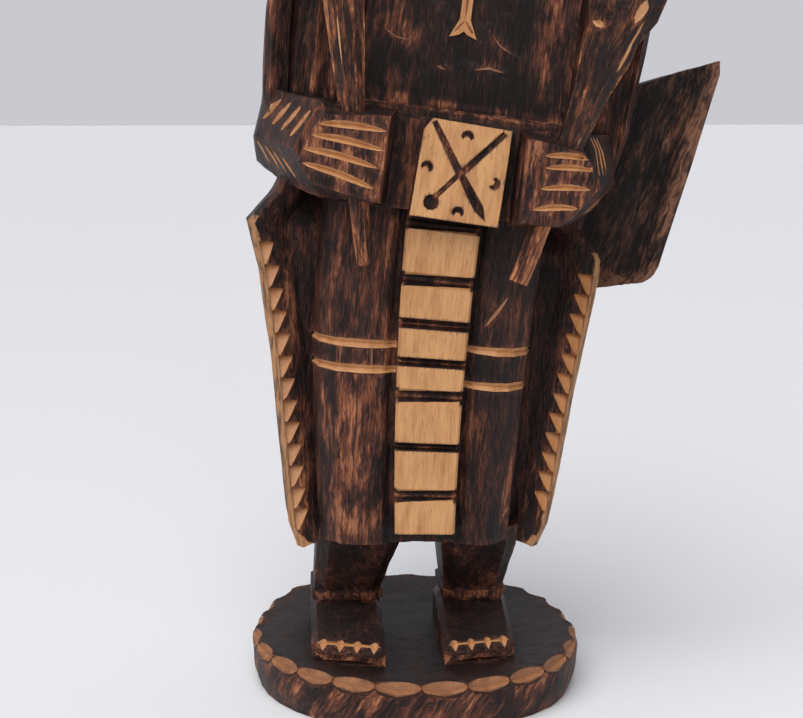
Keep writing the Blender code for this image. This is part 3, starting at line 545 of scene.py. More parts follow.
def frontPlace(x, height, aside, skin):
    # the surface at a place marked from the front, read on both sides of a cut that is already there
    hits = [seenPlace(leaned((x + aside[0] * side, -0.2, height + aside[1] * side)),
                      Vector((0.0, 1.0, 0.0)), skin) for side in (-1, 1)]
    hits = [hit for hit in hits if hit]
    if len(hits) == 2 and hits[0][1].dot(hits[1][1]) < 0.85:
        hits = [min(hits, key=lambda hit: hit[0].y)]
    depth = sum(place.y for place, _ in hits) / len(hits)
    return leaned((x, depth, height)), sum((normal for _, normal in hits), Vector()).normalized()


def radialPlace(angle, height, middle=(0.0, 0.003)):
    # the surface as seen from all round, at an angle in degrees from +X
    turn = math.radians(angle)
    out = Vector((math.cos(turn), math.sin(turn), 0.0))
    start = leaned(Vector((middle[0], middle[1], height)) + out * 0.2)
    return seenPlace(start, -leanedTurn(out, height), figureSkin)


def leafOf(places, half, power=0.5):
    # one knife cut through given places and normals: a width that runs out at both ends
    average = sum((normal for _, normal in places), Vector()).normalized()
    last = len(places) - 1
    cut = []
    for index, (place, normal) in enumerate(places):
        share = index / last
        taper = math.sin(math.pi * share) ** power if power else 1 - abs(2 * share - 1)
        cut.append((place, (average + normal).normalized(), half * max(taper, 0.05)))
    return cut


def frontLeaf(marks, half, swell=0.0, power=0.5, count=15, skin=figureSkin):
    # a cut through places marked from the front as (x, height)
    marks = np.array(marks)
    steps = np.linalg.norm(np.diff(marks, axis=0), axis=1)
    along = np.concatenate([[0.0], np.cumsum(steps)]) / steps.sum()
    (x0, z0), (x1, z1) = marks[0], marks[-1]
    length = math.hypot(x1 - x0, z1 - z0)
    reach = half + 0.0005
    aside = (-(z1 - z0) / length * reach, (x1 - x0) / length * reach)
    places = []
    for index in range(count):
        share = index / (count - 1)
        x, height = (float(np.interp(share, along, marks[:, column])) for column in (0, 1))
        places.append(frontPlace(x, height + swell * math.sin(math.pi * share), aside, skin))
    return leafOf(places, half, power)


def cutterSet(name, leaves, depth, material, lift):
    # all the cuts of one kind, as one mesh of closed cutters
    mesh = bpy.data.meshes.new(name)
    points, edges, outward, halves = [], [], [], []
    for leaf in leaves:
        first = len(points)
        for place, normal, half in leaf:
            points.append(place)
            outward += list(normal)
            halves.append(half)
        edges += [(index, index + 1) for index in range(first, len(points) - 1)]
    mesh.from_pydata(points, edges, [])
    mesh.attributes.new("outward", "FLOAT_VECTOR", "POINT").data.foreach_set("vector", outward)
    mesh.attributes.new("half", "FLOAT", "POINT").data.foreach_set("value", halves)
    made = shaped(name, mesh, trees["leaf"], {"Depth": depth, "Lift": lift, "Material": material})
    return linked(name, reworked(made, mergedBy(0.0000002), turnedOut))


fingerCuts = {
    "rows": (((-0.0665, 0.2779), (-0.0363, 0.2782)), ((-0.0690, 0.2724), (-0.0360, 0.2694)),
             ((-0.0720, 0.2659), (-0.0380, 0.2614)), ((-0.0715, 0.2592), (-0.0386, 0.2519)),
             ((0.0375, 0.2766), (0.0585, 0.2775)), ((0.0383, 0.2712), (0.0610, 0.2725)),
             ((0.0374, 0.2615), (0.0605, 0.2638)), ((0.0351, 0.2516), (0.0560, 0.2545))),
    "half": {True: 0.00168, False: 0.00138}, "swell": 0.0010, "depth": 1.42,
}
sleeveCuts = {  # rows of four: first start and its step, first end and its step
    "upper": ((-0.0921, 0.2760), (0.0045, -0.0020), (-0.0847, 0.2862), (0.0047, -0.0010)),
    "lower": ((-0.0942, 0.2655), (0.0044, -0.0021), (-0.0866, 0.2550), (0.0043, -0.0014)),
    "count": 4, "upperHalf": 0.00165, "lowerHalf": 0.00125, "depth": 1.45,
}
kneeCuts = {
    "rows": (((-0.0585, 0.1786), (-0.0168, 0.1792)), ((-0.0580, 0.1667), (-0.0168, 0.1672)),
             ((0.0168, 0.1795), (0.0498, 0.1795)), ((0.0168, 0.1620), (0.0492, 0.1620))),
    "half": 0.00200, "depth": 0.95,
}
toeCuts = {
    "middle": {-1: -0.0358, 1: 0.0290}, "slant": {-1: 0.30, 1: 0.20}, "front": -0.0418, "height": 0.0300,
    "places": (-0.0125, -0.0042, 0.0042, 0.0125), "reach": 0.0044, "half": 0.0021, "depth": 1.00,
    "tilt": 0.75, "lineHalf": 0.0005, "lineStep": 0.0042,
}
rimCuts = {"count": 24, "start": 0.35, "half": 0.0036, "depth": 0.64, "height": 0.0258, "rise": 0.0012,
           "inset": 0.0012, "drop": 0.0022, "dip": 0.0014}
lineCuts = {  # thin strokes: marks, half-width
    "folds": ((((0.0590, 0.2885), (0.0643, 0.2823), (0.0674, 0.2706)), 0.00075),
              (((0.0612, 0.2888), (0.0666, 0.2826), (0.0702, 0.2705)), 0.00075),
              (((0.0635, 0.2888), (0.0690, 0.2820), (0.0726, 0.2713)), 0.00070),
              (((0.0655, 0.2500), (0.0765, 0.2595)), 0.00115),
               (((0.0685, 0.2490), (0.0775, 0.2565)), 0.00115)),
    "scratches": ((((-0.0447, 0.1778), (-0.0443, 0.1680)), 0.00035),
                  (((-0.0298, 0.1778), (-0.0290, 0.1680)), 0.00035),
                  (((0.0330, 0.2065), (0.0235, 0.1915)), 0.00080),
                  (((0.0392, 0.0948), (0.0430, 0.0992)), 0.00120),
                  (((0.0044, 0.3115), (0.0109, 0.3135), (0.0183, 0.3119)), 0.00060),
                  (((0.0107, 0.3287), (0.0145, 0.3242), (0.0208, 0.3212)), 0.00030),
                  (((-0.0137, 0.3112), (-0.0092, 0.3097)), 0.00035),
                  (((-0.0400, 0.3250), (-0.0350, 0.3222), (-0.0290, 0.3214)), 0.00045)),
}
pendantCuts = ((((-0.0034, 0.3640), (-0.0034, 0.3340)), 0.00075),
               (((-0.0034, 0.3335), (-0.0080, 0.3275)), 0.00055),
               (((-0.0034, 0.3335), (0.0014, 0.3275)), 0.00055))
crescentCuts = {
    "radius": 0.0020, "half": 0.00135, "depth": 1.1, "steps": 5, "stepTurn": 23,
    "places": ((0.0019, 0.2800, 90), (-0.0150, 0.2641, 70), (0.0165, 0.2610, -20), (0.0021, 0.2450, 90)),
    "nicks": ((((-0.0172, 0.2775), (-0.0186, 0.2712)), 0.0009),
              (((-0.0190, 0.2732), (-0.0192, 0.2695)), 0.0008)),
}


def fingerLeaves():
    return [frontLeaf(row, fingerCuts["half"][row[0][0] < 0.0], fingerCuts["swell"])
            for row in fingerCuts["rows"]]


def sleeveRow(name):
    start, startStep, end, endStep = sleeveCuts[name]
    return [((start[0] + startStep[0] * index, start[1] + startStep[1] * index),
             (end[0] + endStep[0] * index, end[1] + endStep[1] * index))
            for index in range(sleeveCuts["count"])]


def sleeveLeaves():
    return [frontLeaf(row, sleeveCuts[name + "Half"])
            for name in ("upper", "lower") for row in sleeveRow(name)]


def kneeLeaves():
    return [frontLeaf(row, kneeCuts["half"], power=0.12, count=31) for row in kneeCuts["rows"]]


def lineLeaves(lines):
    return [frontLeaf(marks, half, power=0.6, count=9) for marks, half in lines]


def crescentLeaves():
    leaves, radius = [], crescentCuts["radius"]
    for x, height, facing in crescentCuts["places"]:
        spots = []
        for step in range(-crescentCuts["steps"], crescentCuts["steps"] + 1):
            turn = math.radians(facing + crescentCuts["stepTurn"] * step)
            place = (x + radius * math.cos(turn), panels["plateFront"], height + radius * math.sin(turn))
            spots.append((leaned(place), Vector((0.0, -1.0, 0.0))))
        leaves.append(leafOf(spots, crescentCuts["half"], power=0.6))
    return leaves + [frontLeaf(row, half, count=5) for row, half in crescentCuts["nicks"]]


def toeLeaves():
    leaves = []
    for side in (-1, 1):
        slant = toeCuts["slant"][side] * side
        forward = Vector((slant, -1.0, 0.0)).normalized()
        outward = (forward + Vector((0.0, 0.0, toeCuts["tilt"]))).normalized()
        down = (forward * toeCuts["tilt"] - Vector((0.0, 0.0, 1.0))).normalized()
        row = {place: Vector((toeCuts["middle"][side] + place, toeCuts["front"] + place * slant,
                              toeCuts["height"]))
               for place in (*toeCuts["places"], *(toeCuts["lineStep"] * step for step in range(-4, 5)))}
        for place in toeCuts["places"]:
            spots = [(leaned(row[place] + down * toeCuts["reach"] * share), outward)
                     for share in (-1.0, -0.66, -0.33, 0.0, 0.33, 0.66, 1.0)]
            leaves.append(leafOf(spots, toeCuts["half"], power=0))
        spots = [(leaned(row[toeCuts["lineStep"] * step]), outward) for step in range(-4, 5)]
        leaves.append(leafOf(spots, toeCuts["lineHalf"], power=0.2))
    return leaves


def rimPlace(angle):
    turn = math.radians(angle)
    out = Vector((math.cos(turn), math.sin(turn), 0.0))
    place, _ = seenPlace(out * 0.2 + Vector((0.0, 0.0, 0.012)), -out, figureSkin)
    return Vector((place.x, place.y, rimCuts["height"] + rimCuts["rise"] * math.sin(turn)))


def rimLeaves():
    leaves = []
    up, count = Vector((0.0, 0.0, 1.0)), rimCuts["count"]
    for index in range(count):
        middle = 360 * (index + rimCuts["start"]) / count
        along = (rimPlace(middle + 6) - rimPlace(middle - 6)).normalized()
        outward = (along.cross(up) + up * 0.8).normalized()
        inward = Vector((-math.cos(math.radians(middle)), -math.sin(math.radians(middle)), 0.0))
        spots = []
        for step in range(13):
            share = step / 6 - 1
            place = rimPlace(middle + share * 180 / count * 0.99)
            place += inward * rimCuts["inset"] - up * rimCuts["drop"]
            place -= outward * (1 - abs(share)) * rimCuts["dip"]
            spots.append((place, outward))
        leaves.append(leafOf(spots, rimCuts["half"], power=0.55))
    return leaves


hairCuts = {"count": 24, "from": -14, "to": 194, "top": 0.4515, "bottom": 0.3500, "half": 0.0019,
            "depth": 0.7, "wave": 2.0, "faceLine": -0.025, "longestStep": 0.014}
featherCuts = {"count": 13, "bottom": 0.4712, "top": 0.4990, "half": 0.0009, "depth": 1.0, "barbs": 4,
               "firstBarb": 0.0008, "tip": 0.0085, "barbStart": 1.2, "barbTurn": 6.6, "barbRise": 0.0052}


def hairLeaves():
    leaves = []
    for index in range(hairCuts["count"]):
        angle = hairCuts["from"] + (hairCuts["to"] - hairCuts["from"]) * index / (hairCuts["count"] - 1)
        spots = []
        for step in range(12):
            share = step / 11
            height = hairCuts["top"] + (hairCuts["bottom"] - hairCuts["top"]) * share
            hit = radialPlace(angle + hairCuts["wave"] * math.sin(share * 5 + index), height)
            if hit and hit[0].y > hairCuts["faceLine"] and (
                    not spots or (hit[0] - spots[-1][0]).length < hairCuts["longestStep"]):
                spots.append(hit)
        if len(spots) > 5:
            leaves.append(leafOf(spots, hairCuts["half"], power=0.4))
    return leaves


def featherLeaves():
    leaves = []
    low, high = featherCuts["bottom"], featherCuts["top"]
    for index in range(featherCuts["count"]):
        angle = 360 * (index + 1) / featherCuts["count"]
        rib = [radialPlace(angle, low + (high - low) * share / 8) for share in range(9)]
        leaves.append(leafOf([hit for hit in rib if hit], featherCuts["half"], power=0.3))
        for barb in range(featherCuts["barbs"]):
            start = low + featherCuts["firstBarb"] + (high - low - featherCuts["tip"]) * barb / (
                featherCuts["barbs"] - 1)
            for side in (-1, 1):
                spots = []
                for share in range(4):
                    turn = featherCuts["barbStart"] + featherCuts["barbTurn"] * share / 3
                    spots.append(radialPlace(angle + side * turn, start + featherCuts["barbRise"] * share / 3))
                if all(spots):
                    leaves.append(leafOf(spots, featherCuts["half"] * 0.8, power=0.5))
    return leaves


def hullMesh(name, points):
    mesh = bpy.data.meshes.new(name)
    mesh.from_pydata(points, [], [])
    return reworked(mesh, lambda shape: bmesh.ops.convex_hull(shape, input=shape.verts[:]), turnedOut)


def notchSet(name, rows, cutterPoints, material):
    # rows of (place, turn, size, slope); the notches are leaned with the log afterwards
    mesh = bpy.data.meshes.new(name)
    mesh.from_pydata([place for place, *_ in rows], [], [])
    for key, kind, values in (("turn", "FLOAT", [row[1] for row in rows]),
                              ("size", "FLOAT_VECTOR", [value for row in rows for value in row[2]]),
                              ("slope", "FLOAT", [row[3] for row in rows]),
                              ("top", "FLOAT", [row[0][2] for row in rows])):
        data = mesh.attributes.new(key, kind, "POINT").data
        data.foreach_set("vector" if kind == "FLOAT_VECTOR" else "value", values)
    cutter = linked(name + "Cutter", hullMesh(name + "Cutter", cutterPoints))
    made = shaped(name, mesh, trees["notch"], {"Cutter": cutter, "Material": material})
    bpy.data.objects.remove(cutter, do_unlink=True)
    for vert in made.vertices:
        vert.co = leaned(vert.co)
    return linked(name, made)


capeEdge = {  # half-widths of the cape along the log, where its edge is notched
    -1: ((0.074, 0.0610), (0.080, 0.0647), (0.098, 0.0672), (0.132, 0.0718), (0.169, 0.0778), (0.206, 0.0866),
         (0.227, 0.0945), (0.234, 0.0900)),
    1: ((0.074, 0.0605), (0.080, 0.0650), (0.110, 0.0699), (0.153, 0.0746), (0.190, 0.0788), (0.218, 0.0812),
        (0.227, 0.0808), (0.234, 0.0770)),
}
toothCuts = {"pitch": 0.0105, "top": 0.2190, "front": -0.0243, "width": 0.0112, "strip": 0.0038,
             "counts": {-1: 13, 1: 12}, "drop": 0.94, "back": 0.0047}


def toothSet(side, material):
    # across, depth and height from each notch's upper outer corner
    drop, strip, back = toothCuts["pitch"] * toothCuts["drop"], toothCuts["strip"], toothCuts["back"]
    points = [(-toothCuts["width"], back, 0.0001), (-strip, back, 0.0001), (-strip - 0.0014, 0.0003, -drop),
              (-strip, 0.0010, -drop - 0.0001)]
    points += [(x, -0.0080, z) for x, _, z in points]
    points = [(x * side, y, z) for x, y, z in points]
    rows = []
    for index in range(toothCuts["counts"][side]):
        top = toothCuts["top"] - index * toothCuts["pitch"]
        upper, lower = between(top, capeEdge[side]), between(top - drop, capeEdge[side])
        slope = (upper - lower) * side / drop
        rows.append(((upper * side, toothCuts["front"], top), 0.0, (1.0, 1.0, 1.0), slope))
    return notchSet("teeth" + ("Right" if side < 0 else "Left"), rows, points, material)


headBand = {"facets": 18, "half": 0.0400, "front": -0.0431, "back": 0.0480, "squareness": 2.3,
            "triangleTop": 0.4660, "triangleHalf": 0.38}


def bandSet(material):
    # a pale triangle in each facet of the headband
    middle = (headBand["front"] + headBand["back"]) / 2
    reach = (headBand["back"] - headBand["front"]) / 2
    corners = []
    for index in range(headBand["facets"]):
        turn = 2 * math.pi * (index + 0.5) / headBand["facets"]
        x, y = math.cos(turn), math.sin(turn)
        power = headBand["squareness"]
        swell = (abs(x) ** power + abs(y) ** power) ** (-1 / power)
        corners.append(Vector((x * headBand["half"] * swell, middle + y * reach * swell,
                               headBand["triangleTop"])))
    rows = []
    for start, end in zip(corners, corners[1:] + corners[:1]):
        side = end - start
        size = (side.length * headBand["triangleHalf"], 1.0, 1.0)
        rows.append((tuple((start + end) / 2), math.atan2(side.y, side.x), size, 0.0))
    points = [(1.0, -0.0012, 0.0002), (-1.0, -0.0012, 0.0002), (0.0, -0.0012, -0.0102),
              (0.0, 0.0021, -0.0020)]
    return notchSet("bandTriangles", rows, points, material)


def carve(mesh, name, cutters):
    # one exact cut with all the cutters; cut faces keep the cutters' wood
    item = linked(name, mesh)
    holder = bpy.data.collections.new("cutters")
    bpy.context.scene.collection.children.link(holder)
    for cutter in cutters:
        bpy.context.scene.collection.objects.unlink(cutter)
        holder.objects.link(cutter)
    modifier = item.modifiers.new("carving", "BOOLEAN")
    modifier.operation, modifier.solver = "DIFFERENCE", "EXACT"
    modifier.operand_type, modifier.collection = "COLLECTION", holder
    modifier.material_mode = "TRANSFER"
    made = evaluated(item)
    bpy.data.objects.remove(item, do_unlink=True)
    for cutter in cutters:
        bpy.data.objects.remove(cutter, do_unlink=True)
    bpy.data.collections.remove(holder)
    return made


def welded(mesh):
    # one plain triangle mesh: corner places, triangles and their woods
    reworked(mesh, mergedBy(0.000002),
             lambda shape: bmesh.ops.dissolve_degenerate(shape, edges=shape.edges[:], dist=0.000001),
             lambda shape: bmesh.ops.triangulate(shape, faces=shape.faces[:]))
    faces = numbersOf(mesh.loops, "vertex_index").reshape(-1, 3)
    return placesOf(mesh), faces, numbersOf(mesh.polygons, "material_index")


def refine(mesh, longestAt, least=0.0009, rounds=40):
    # halves each triangle's longest edge until it suits its place; neighbours are halved along with it
    places, faces, slots = welded(mesh)
    for _ in range(rounds):
        sides = np.linalg.norm(places[faces] - places[np.roll(faces, -1, axis=1)], axis=2)
        first = sides.argmax(axis=1)
        faces = faces[np.arange(len(faces))[:, None], (first[:, None] + np.arange(3)) % 3]
        pairs = np.sort(np.stack([faces, np.roll(faces, -1, axis=1)], axis=2).reshape(-1, 2), axis=1)
        _, names = np.unique(pairs[:, 0] * len(places) + pairs[:, 1], return_inverse=True)
        names = names.reshape(-1, 3)
        longest = sides.max(axis=1)
        wanted = (longest > least) & (longest > longestAt(places[faces].mean(axis=1)))
        if not wanted.any():
            break
        halved = np.zeros(names.max() + 1, bool)
        while wanted.any():
            halved[names[wanted, 0]] = True
            wanted = halved[names].any(axis=1) & ~halved[names[:, 0]]
        middles = np.full(len(halved), -1)
        middles[halved] = len(places) + np.arange(halved.sum())
        ends = np.empty((len(halved), 2), int)
        ends[names.ravel()] = pairs
        places = np.concatenate([places, places[ends[halved]].mean(axis=1)])
        middle = middles[names]
        kept = middle[:, 0] < 0
        parts, woodsOf = [faces[kept]], [slots[kept]]
        for corner, side in ((0, 2), (1, 1)):
            # each half of a split triangle, halved again where its outer side is split too
            half = faces[~kept]
            newMiddle, outer, far = middle[~kept, 0], middle[~kept, side], half[:, 2]
            close = half[:, corner]
            turned = corner == 1
            whole = outer < 0
            plain = np.stack([newMiddle, close, far] if turned else [close, newMiddle, far], axis=1)
            parts.append(plain[whole])
            woodsOf.append(slots[~kept][whole])
            one = np.stack([newMiddle, close, outer] if turned else [close, newMiddle, outer], axis=1)
            two = np.stack([newMiddle, outer, far] if turned else [outer, newMiddle, far], axis=1)
            parts += [one[~whole], two[~whole]]
            woodsOf += [slots[~kept][~whole]] * 2
        faces, slots = np.concatenate(parts), np.concatenate(woodsOf)
    made = bpy.data.meshes.new("refined")
    made.from_pydata(places.tolist(), [], faces.tolist())
    for wood in mesh.materials:
        made.materials.append(wood)
    made.polygons.foreach_set("material_index", slots)
    made.update()
    return made


def spread(values, edges, weight):
    # blurs a value once over the mesh's edges
    count = np.bincount(edges.ravel(), minlength=len(values)).clip(1)
    total = sum(np.bincount(edges[:, end], values[edges[:, 1 - end]], len(values)) for end in (0, 1))
    return values + weight * (total / count - values)


def borders(mesh):
    # how near each point is to where pale wood meets stain
    pale = np.repeat(numbersOf(mesh.polygons, "material_index") > 0, 3)
    corners = numbersOf(mesh.loops, "vertex_index")
    share = np.bincount(corners, pale, len(mesh.vertices)) \
        / np.bincount(corners, minlength=len(mesh.vertices)).clip(1)
    border = ((share > 0) & (share < 1)).astype(float)
    return spread(border, numbersOf(mesh.edges, "vertices", 2).reshape(-1, 2), 0.4), share


def store(mesh, name, values):
    kind, key = ("FLOAT_VECTOR", "vector") if values.ndim == 2 else ("FLOAT", "value")
    mesh.attributes.new(name, kind, "POINT").data.foreach_set(key, values.astype(np.float32).ravel())


def near(points, strokes):
    # strength of soft strokes: (x, height) lines with a width and an amount
    total = np.zeros(len(points))
    flat = points[:, [0, 2]]
    for start, end, width, amount in strokes:
        start, end = np.array(start), np.array(end)
        along = end - start
        share = ((flat - start) @ along / (along @ along + 1e-12)).clip(0, 1)
        away = np.linalg.norm(flat - start - share[:, None] * along, axis=1)
        total = np.maximum(total, amount * np.exp(-(away / width) ** 2))
    return total


# The pieces

def axisPlaces(mesh, start, end):
    # an array of places along a straight piece: z runs from start to end
    along = (Vector(end) - Vector(start)).normalized()
    across = along.orthogonal().normalized()
    basis = np.array([across, along.cross(across), along])
    return (placesOf(mesh) - np.array(start)) @ basis.T


def finished(name, mesh, look, place, rub, bare, marks):
    # stores what the woods read, gives the surface its hand finish, and hands it over as one piece
    border, pale = borders(mesh)
    for key, values in (("logPlace", place), ("rub", rub), ("bare", bare), ("border", border),
                        ("marks", marks * (1 - 0.75 * pale))):
        store(mesh, key, values)
    made = shaped(name, mesh, trees["finish"], look["finish"])
    made.name = name
    made.shade_smooth()
    made.set_sharp_from_angle(angle=math.radians(look["sharp"]))
    piece = linked(name, made)
    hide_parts(look["node"])
    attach(piece, "root")
    print(name, len(made.polygons), "triangles")
    return piece


panels = {
    "rows": ((0.2348, 0.2148), (0.2082, 0.1931), (0.1883, 0.1745), (0.1702, 0.1596), (0.1528, 0.1334),
             (0.1295, 0.1108), (0.1043, 0.0885)),
    "front": -0.0530, "left": ((0.0885, -0.0143), (0.2345, -0.0199)),
    "right": ((0.0885, 0.0150), (0.2345, 0.0156)), "slack": 0.0006, "sunk": 0.0016,
    "plateFront": -0.0660, "plateSpan": (0.2395, 0.2880), "plateHalf": 0.024,
    "chestFront": -0.0360, "pendant": -0.0034, "pendantSpan": (0.3240, 0.3655), "pendantHalf": 0.0075,
}
paleReach = {"finger": 0.0021, "upperSleeve": 0.0021, "lowerSleeve": 0.0016, "knee": 0.0019, "front": -0.024}


def within(values, low, high):
    return (values > low) & (values < high)


def paintPanels(mesh):
    # the apron's raised panels and the plate's face are bare wood
    wooded(mesh, "figureStain", "panelWood", "toothCut", "paleCut")
    across, depth, height = straightened(placesOf(mesh, "polygons", "center")).T
    forward = placesOf(mesh, "polygons", "normal")[:, 1] < -0.5
    slots, slack = np.zeros(len(mesh.polygons), int), panels["slack"]
    inside = (across > np.interp(height, *zip(*panels["left"]))) \
        & (across < np.interp(height, *zip(*panels["right"])))
    for top, bottom in panels["rows"]:
        slots[forward & inside & (depth < panels["front"] + panels["sunk"])
              & within(height, bottom - slack, top + slack)] = 1
    slots[forward & (np.abs(depth - panels["plateFront"]) < 0.0003) & within(height, *panels["plateSpan"])
          & (np.abs(across) < panels["plateHalf"])] = 1
    slots[within(depth, panels["chestFront"] - 0.0018, panels["chestFront"] - 0.0001)
          & (np.abs(across - panels["pendant"]) < panels["pendantHalf"])
          & within(height, *panels["pendantSpan"])] = 2
    # what the log's own cuts leave open is as pale as the cuts made here
    cutRows = [(row, paleReach[kind], swell) for rows, kind, swell in (
        (fingerCuts["rows"], "finger", fingerCuts["swell"]), (sleeveRow("upper"), "upperSleeve", 0.0),
        (sleeveRow("lower"), "lowerSleeve", 0.0), (kneeCuts["rows"], "knee", 0.0)) for row in rows]
    corners = numbersOf(mesh.loops, "vertex_index")
    flat = straightened(placesOf(mesh))[:, [0, 2]]
    for (start, end), half, swell in cutRows:
        start, end = np.array(start), np.array(end)
        share = ((flat - start) @ (end - start) / ((end - start) @ (end - start))).clip(-0.02, 1.02)
        line = start + share[:, None] * (end - start)
        line[:, 1] += swell * np.sin(math.pi * share.clip(0, 1))
        away = np.linalg.norm(flat - line, axis=1)[corners.reshape(-1, 3)].max(axis=1)
        slots[(away < half) & (depth < paleReach["front"])] = 3
    mesh.polygons.foreach_set("material_index", slots)


figureLook = {
    "node": "figure", "slot": "figure_wood", "sharp": 34,
    "finish": {"Crease Angle": 0.42, "Softening": 5, "Mark Depth": 0.00075, "Mark Width": 0.0080,
               "Mark Length": 0.030},
    "rubs": (  # from and to as (x, height), width, amount
        ((-0.042, 0.158), (-0.036, 0.092), 0.0110, 1.20), ((-0.026, 0.235), (-0.024, 0.092), 0.0050, 0.80),
        ((-0.048, 0.235), (-0.048, 0.190), 0.0080, 0.70), ((0.022, 0.160), (0.020, 0.090), 0.0050, 0.80),
        ((0.047, 0.235), (0.046, 0.160), 0.0035, 0.90), ((0.047, 0.160), (0.040, 0.092), 0.0030, 1.40),
        ((0.034, 0.235), (0.034, 0.190), 0.0080, 0.25), ((-0.056, 0.0450), (-0.016, 0.0450), 0.0035, 1.20),
        ((0.010, 0.0450), (0.046, 0.0450), 0.0035, 1.20), ((-0.050, 0.070), (-0.036, 0.055), 0.0080, 0.25),
        ((0.018, 0.070), (0.040, 0.055), 0.0080, 0.25), ((-0.054, 0.0270), (-0.018, 0.0240), 0.0035, 0.95),
        ((0.010, 0.0240), (0.046, 0.0270), 0.0035, 0.95), ((-0.0365, 0.288), (-0.0360, 0.246), 0.0026, 1.50),
        ((0.033, 0.284), (0.032, 0.246), 0.0050, 1.20), ((-0.072, 0.262), (-0.040, 0.249), 0.0040, 0.90),
        ((-0.095, 0.345), (-0.092, 0.292), 0.0030, 1.10), ((-0.085, 0.2935), (-0.060, 0.2920), 0.0030, 0.90),
        ((-0.068, 0.310), (-0.070, 0.292), 0.0080, 0.80), ((0.083, 0.345), (0.083, 0.292), 0.0030, 1.10),
        ((0.068, 0.345), (0.066, 0.292), 0.0070, 0.60), ((-0.070, 0.266), (-0.040, 0.262), 0.0200, 0.75),
        ((0.036, 0.262), (0.058, 0.262), 0.0170, 0.60), ((-0.070, 0.2865), (-0.046, 0.2855), 0.0024, 1.4),
        ((-0.0140, 0.2855), (0.0155, 0.2425), 0.0014, 0.45),
        ((0.0190, 0.2840), (-0.0095, 0.2515), 0.0010, 1.05),
        ((-0.040, 0.345), (-0.030, 0.325), 0.0090, 1.10), ((0.036, 0.345), (0.044, 0.322), 0.0080, 1.10),
        ((-0.040, 0.312), (-0.028, 0.304), 0.0070, 0.80), ((0.038, 0.320), (0.044, 0.304), 0.0060, 0.90),
        ((-0.076, 0.212), (-0.060, 0.150), 0.0040, 0.90), ((-0.060, 0.150), (-0.057, 0.085), 0.0050, 0.80),
        ((0.072, 0.212), (0.060, 0.090), 0.0060, 0.75),
    ),
    "beltRidge": (((-0.046, 0.2955), (0.050, 0.2925), 0.0016, 2.0),
                  ((-0.046, 0.2925), (0.050, 0.2895), 0.0011, 1.4)),
    "groove": (-0.018, 0.017, 0.0012, 1.9),  # from, to, width, amount
    "rub": 0.36, "backRub": 0.30, "baseRub": 1.10,
    "darker": (  # across, height, amount taken from the rub
        ((-0.030, 0.030), (0.298, 0.350), 0.50), ((0.012, 0.200), (0.082, 0.236), 0.16),
        ((-0.200, -0.068), (0.246, 0.290), 0.24)),
    "sizes": {"back": 0.0080, "front": 0.0040, "hands": 0.0029, "apron": 0.0019, "under": 0.0200},
    "baseTop": 0.0262, "baseRadius": 0.086, "grainLean": 38, "strip": 0.48, "tip": 0.55, "tipReach": 0.0085,
    "faceMarks": 0.20, "apronMarks": 0.35,
}


def figureSize(middles):
    # the longest triangle edge allowed at each place
    sizes = figureLook["sizes"]
    x, depth, height = middles.T
    x = x - np.interp(height, axisLine[:, 1], axisLine[:, 0])
    size = np.where(depth < 0.004, sizes["front"], sizes["back"])
    size = np.where((depth < -0.040) & (height < 0.37), sizes["hands"], size)
    size = np.where((depth < -0.045) & (np.abs(x) < 0.024) & within(height, 0.080, 0.37),
                    sizes["apron"], size)
    return np.where(height < 0.0008, sizes["under"], size)


def figureCutters():
    # name, cuts, depth, wood and lift of each kind
    kinds = (("fingerCuts", fingerLeaves(), fingerCuts["depth"], "paleCut", 2.0),
             ("sleeveCuts", sleeveLeaves(), sleeveCuts["depth"], "paleCut", 2.0),
             ("kneeCuts", kneeLeaves(), kneeCuts["depth"], "paleCut", 2.0),
             ("foldCuts", lineLeaves(lineCuts["folds"]), 1.1, "toothCut", 2.0),
             ("scratchCuts", lineLeaves(lineCuts["scratches"]), 0.7, "rimCut", 2.0),
             ("pendantCuts", lineLeaves(pendantCuts), 0.8, "rimCut", 2.0),
             ("crescentCuts", crescentLeaves(), crescentCuts["depth"], "figureStain", 2.0),
             ("toeCuts", toeLeaves(), toeCuts["depth"], "paleCut", 2.0),
             ("rimCuts", rimLeaves(), rimCuts["depth"], "rimCut", 0.9),
             ("hairCuts", hairLeaves(), hairCuts["depth"], "figureStain", 2.0),
             ("featherCuts", featherLeaves(), featherCuts["depth"], "figureStain", 2.0))
    cutters = [cutterSet(name, leaves, depth, woods[wood], lift) for name, leaves, depth, wood, lift in kinds]
    return cutters + [bandSet(woods["paleCut"])] + [toothSet(side, woods["toothCut"]) for side in (-1, 1)]


def figureRub(place, normals):
    # how much the stain is rubbed: strokes in front, grooves and belt, less on what faces up
    x, depth, height = place.T
    rub = figureLook["rub"] + near(place, figureLook["rubs"]) * (normals[:, 1] < 0.3)
    for across, span, amount in figureLook["darker"]:
        rub = rub - amount * (within(x, *across) & within(height, *span))
    start, end, width, amount = figureLook["groove"]
    middles = [(low + high) / 2 for (_, low), (high, _) in zip(panels["rows"], panels["rows"][1:])]
    grooves = near(place, [((start, middle), (end, middle), width, amount) for middle in middles])
    rub = np.where(depth < -0.046, np.maximum(rub, grooves), rub)
    rub = np.where(depth > 0.010, figureLook["backRub"], rub)
    rub *= np.where(height < 0.055, np.interp(normals[:, 2], (0.35, 0.65), (1.0, 0.12)),
                    np.interp(normals[:, 2], (0.45, 0.80), (1.0, 0.15)))
    ridge = np.maximum(rub, near(place, figureLook["beltRidge"]))
    return np.where((depth < -0.025) & (np.abs(x) < 0.050), ridge, rub)


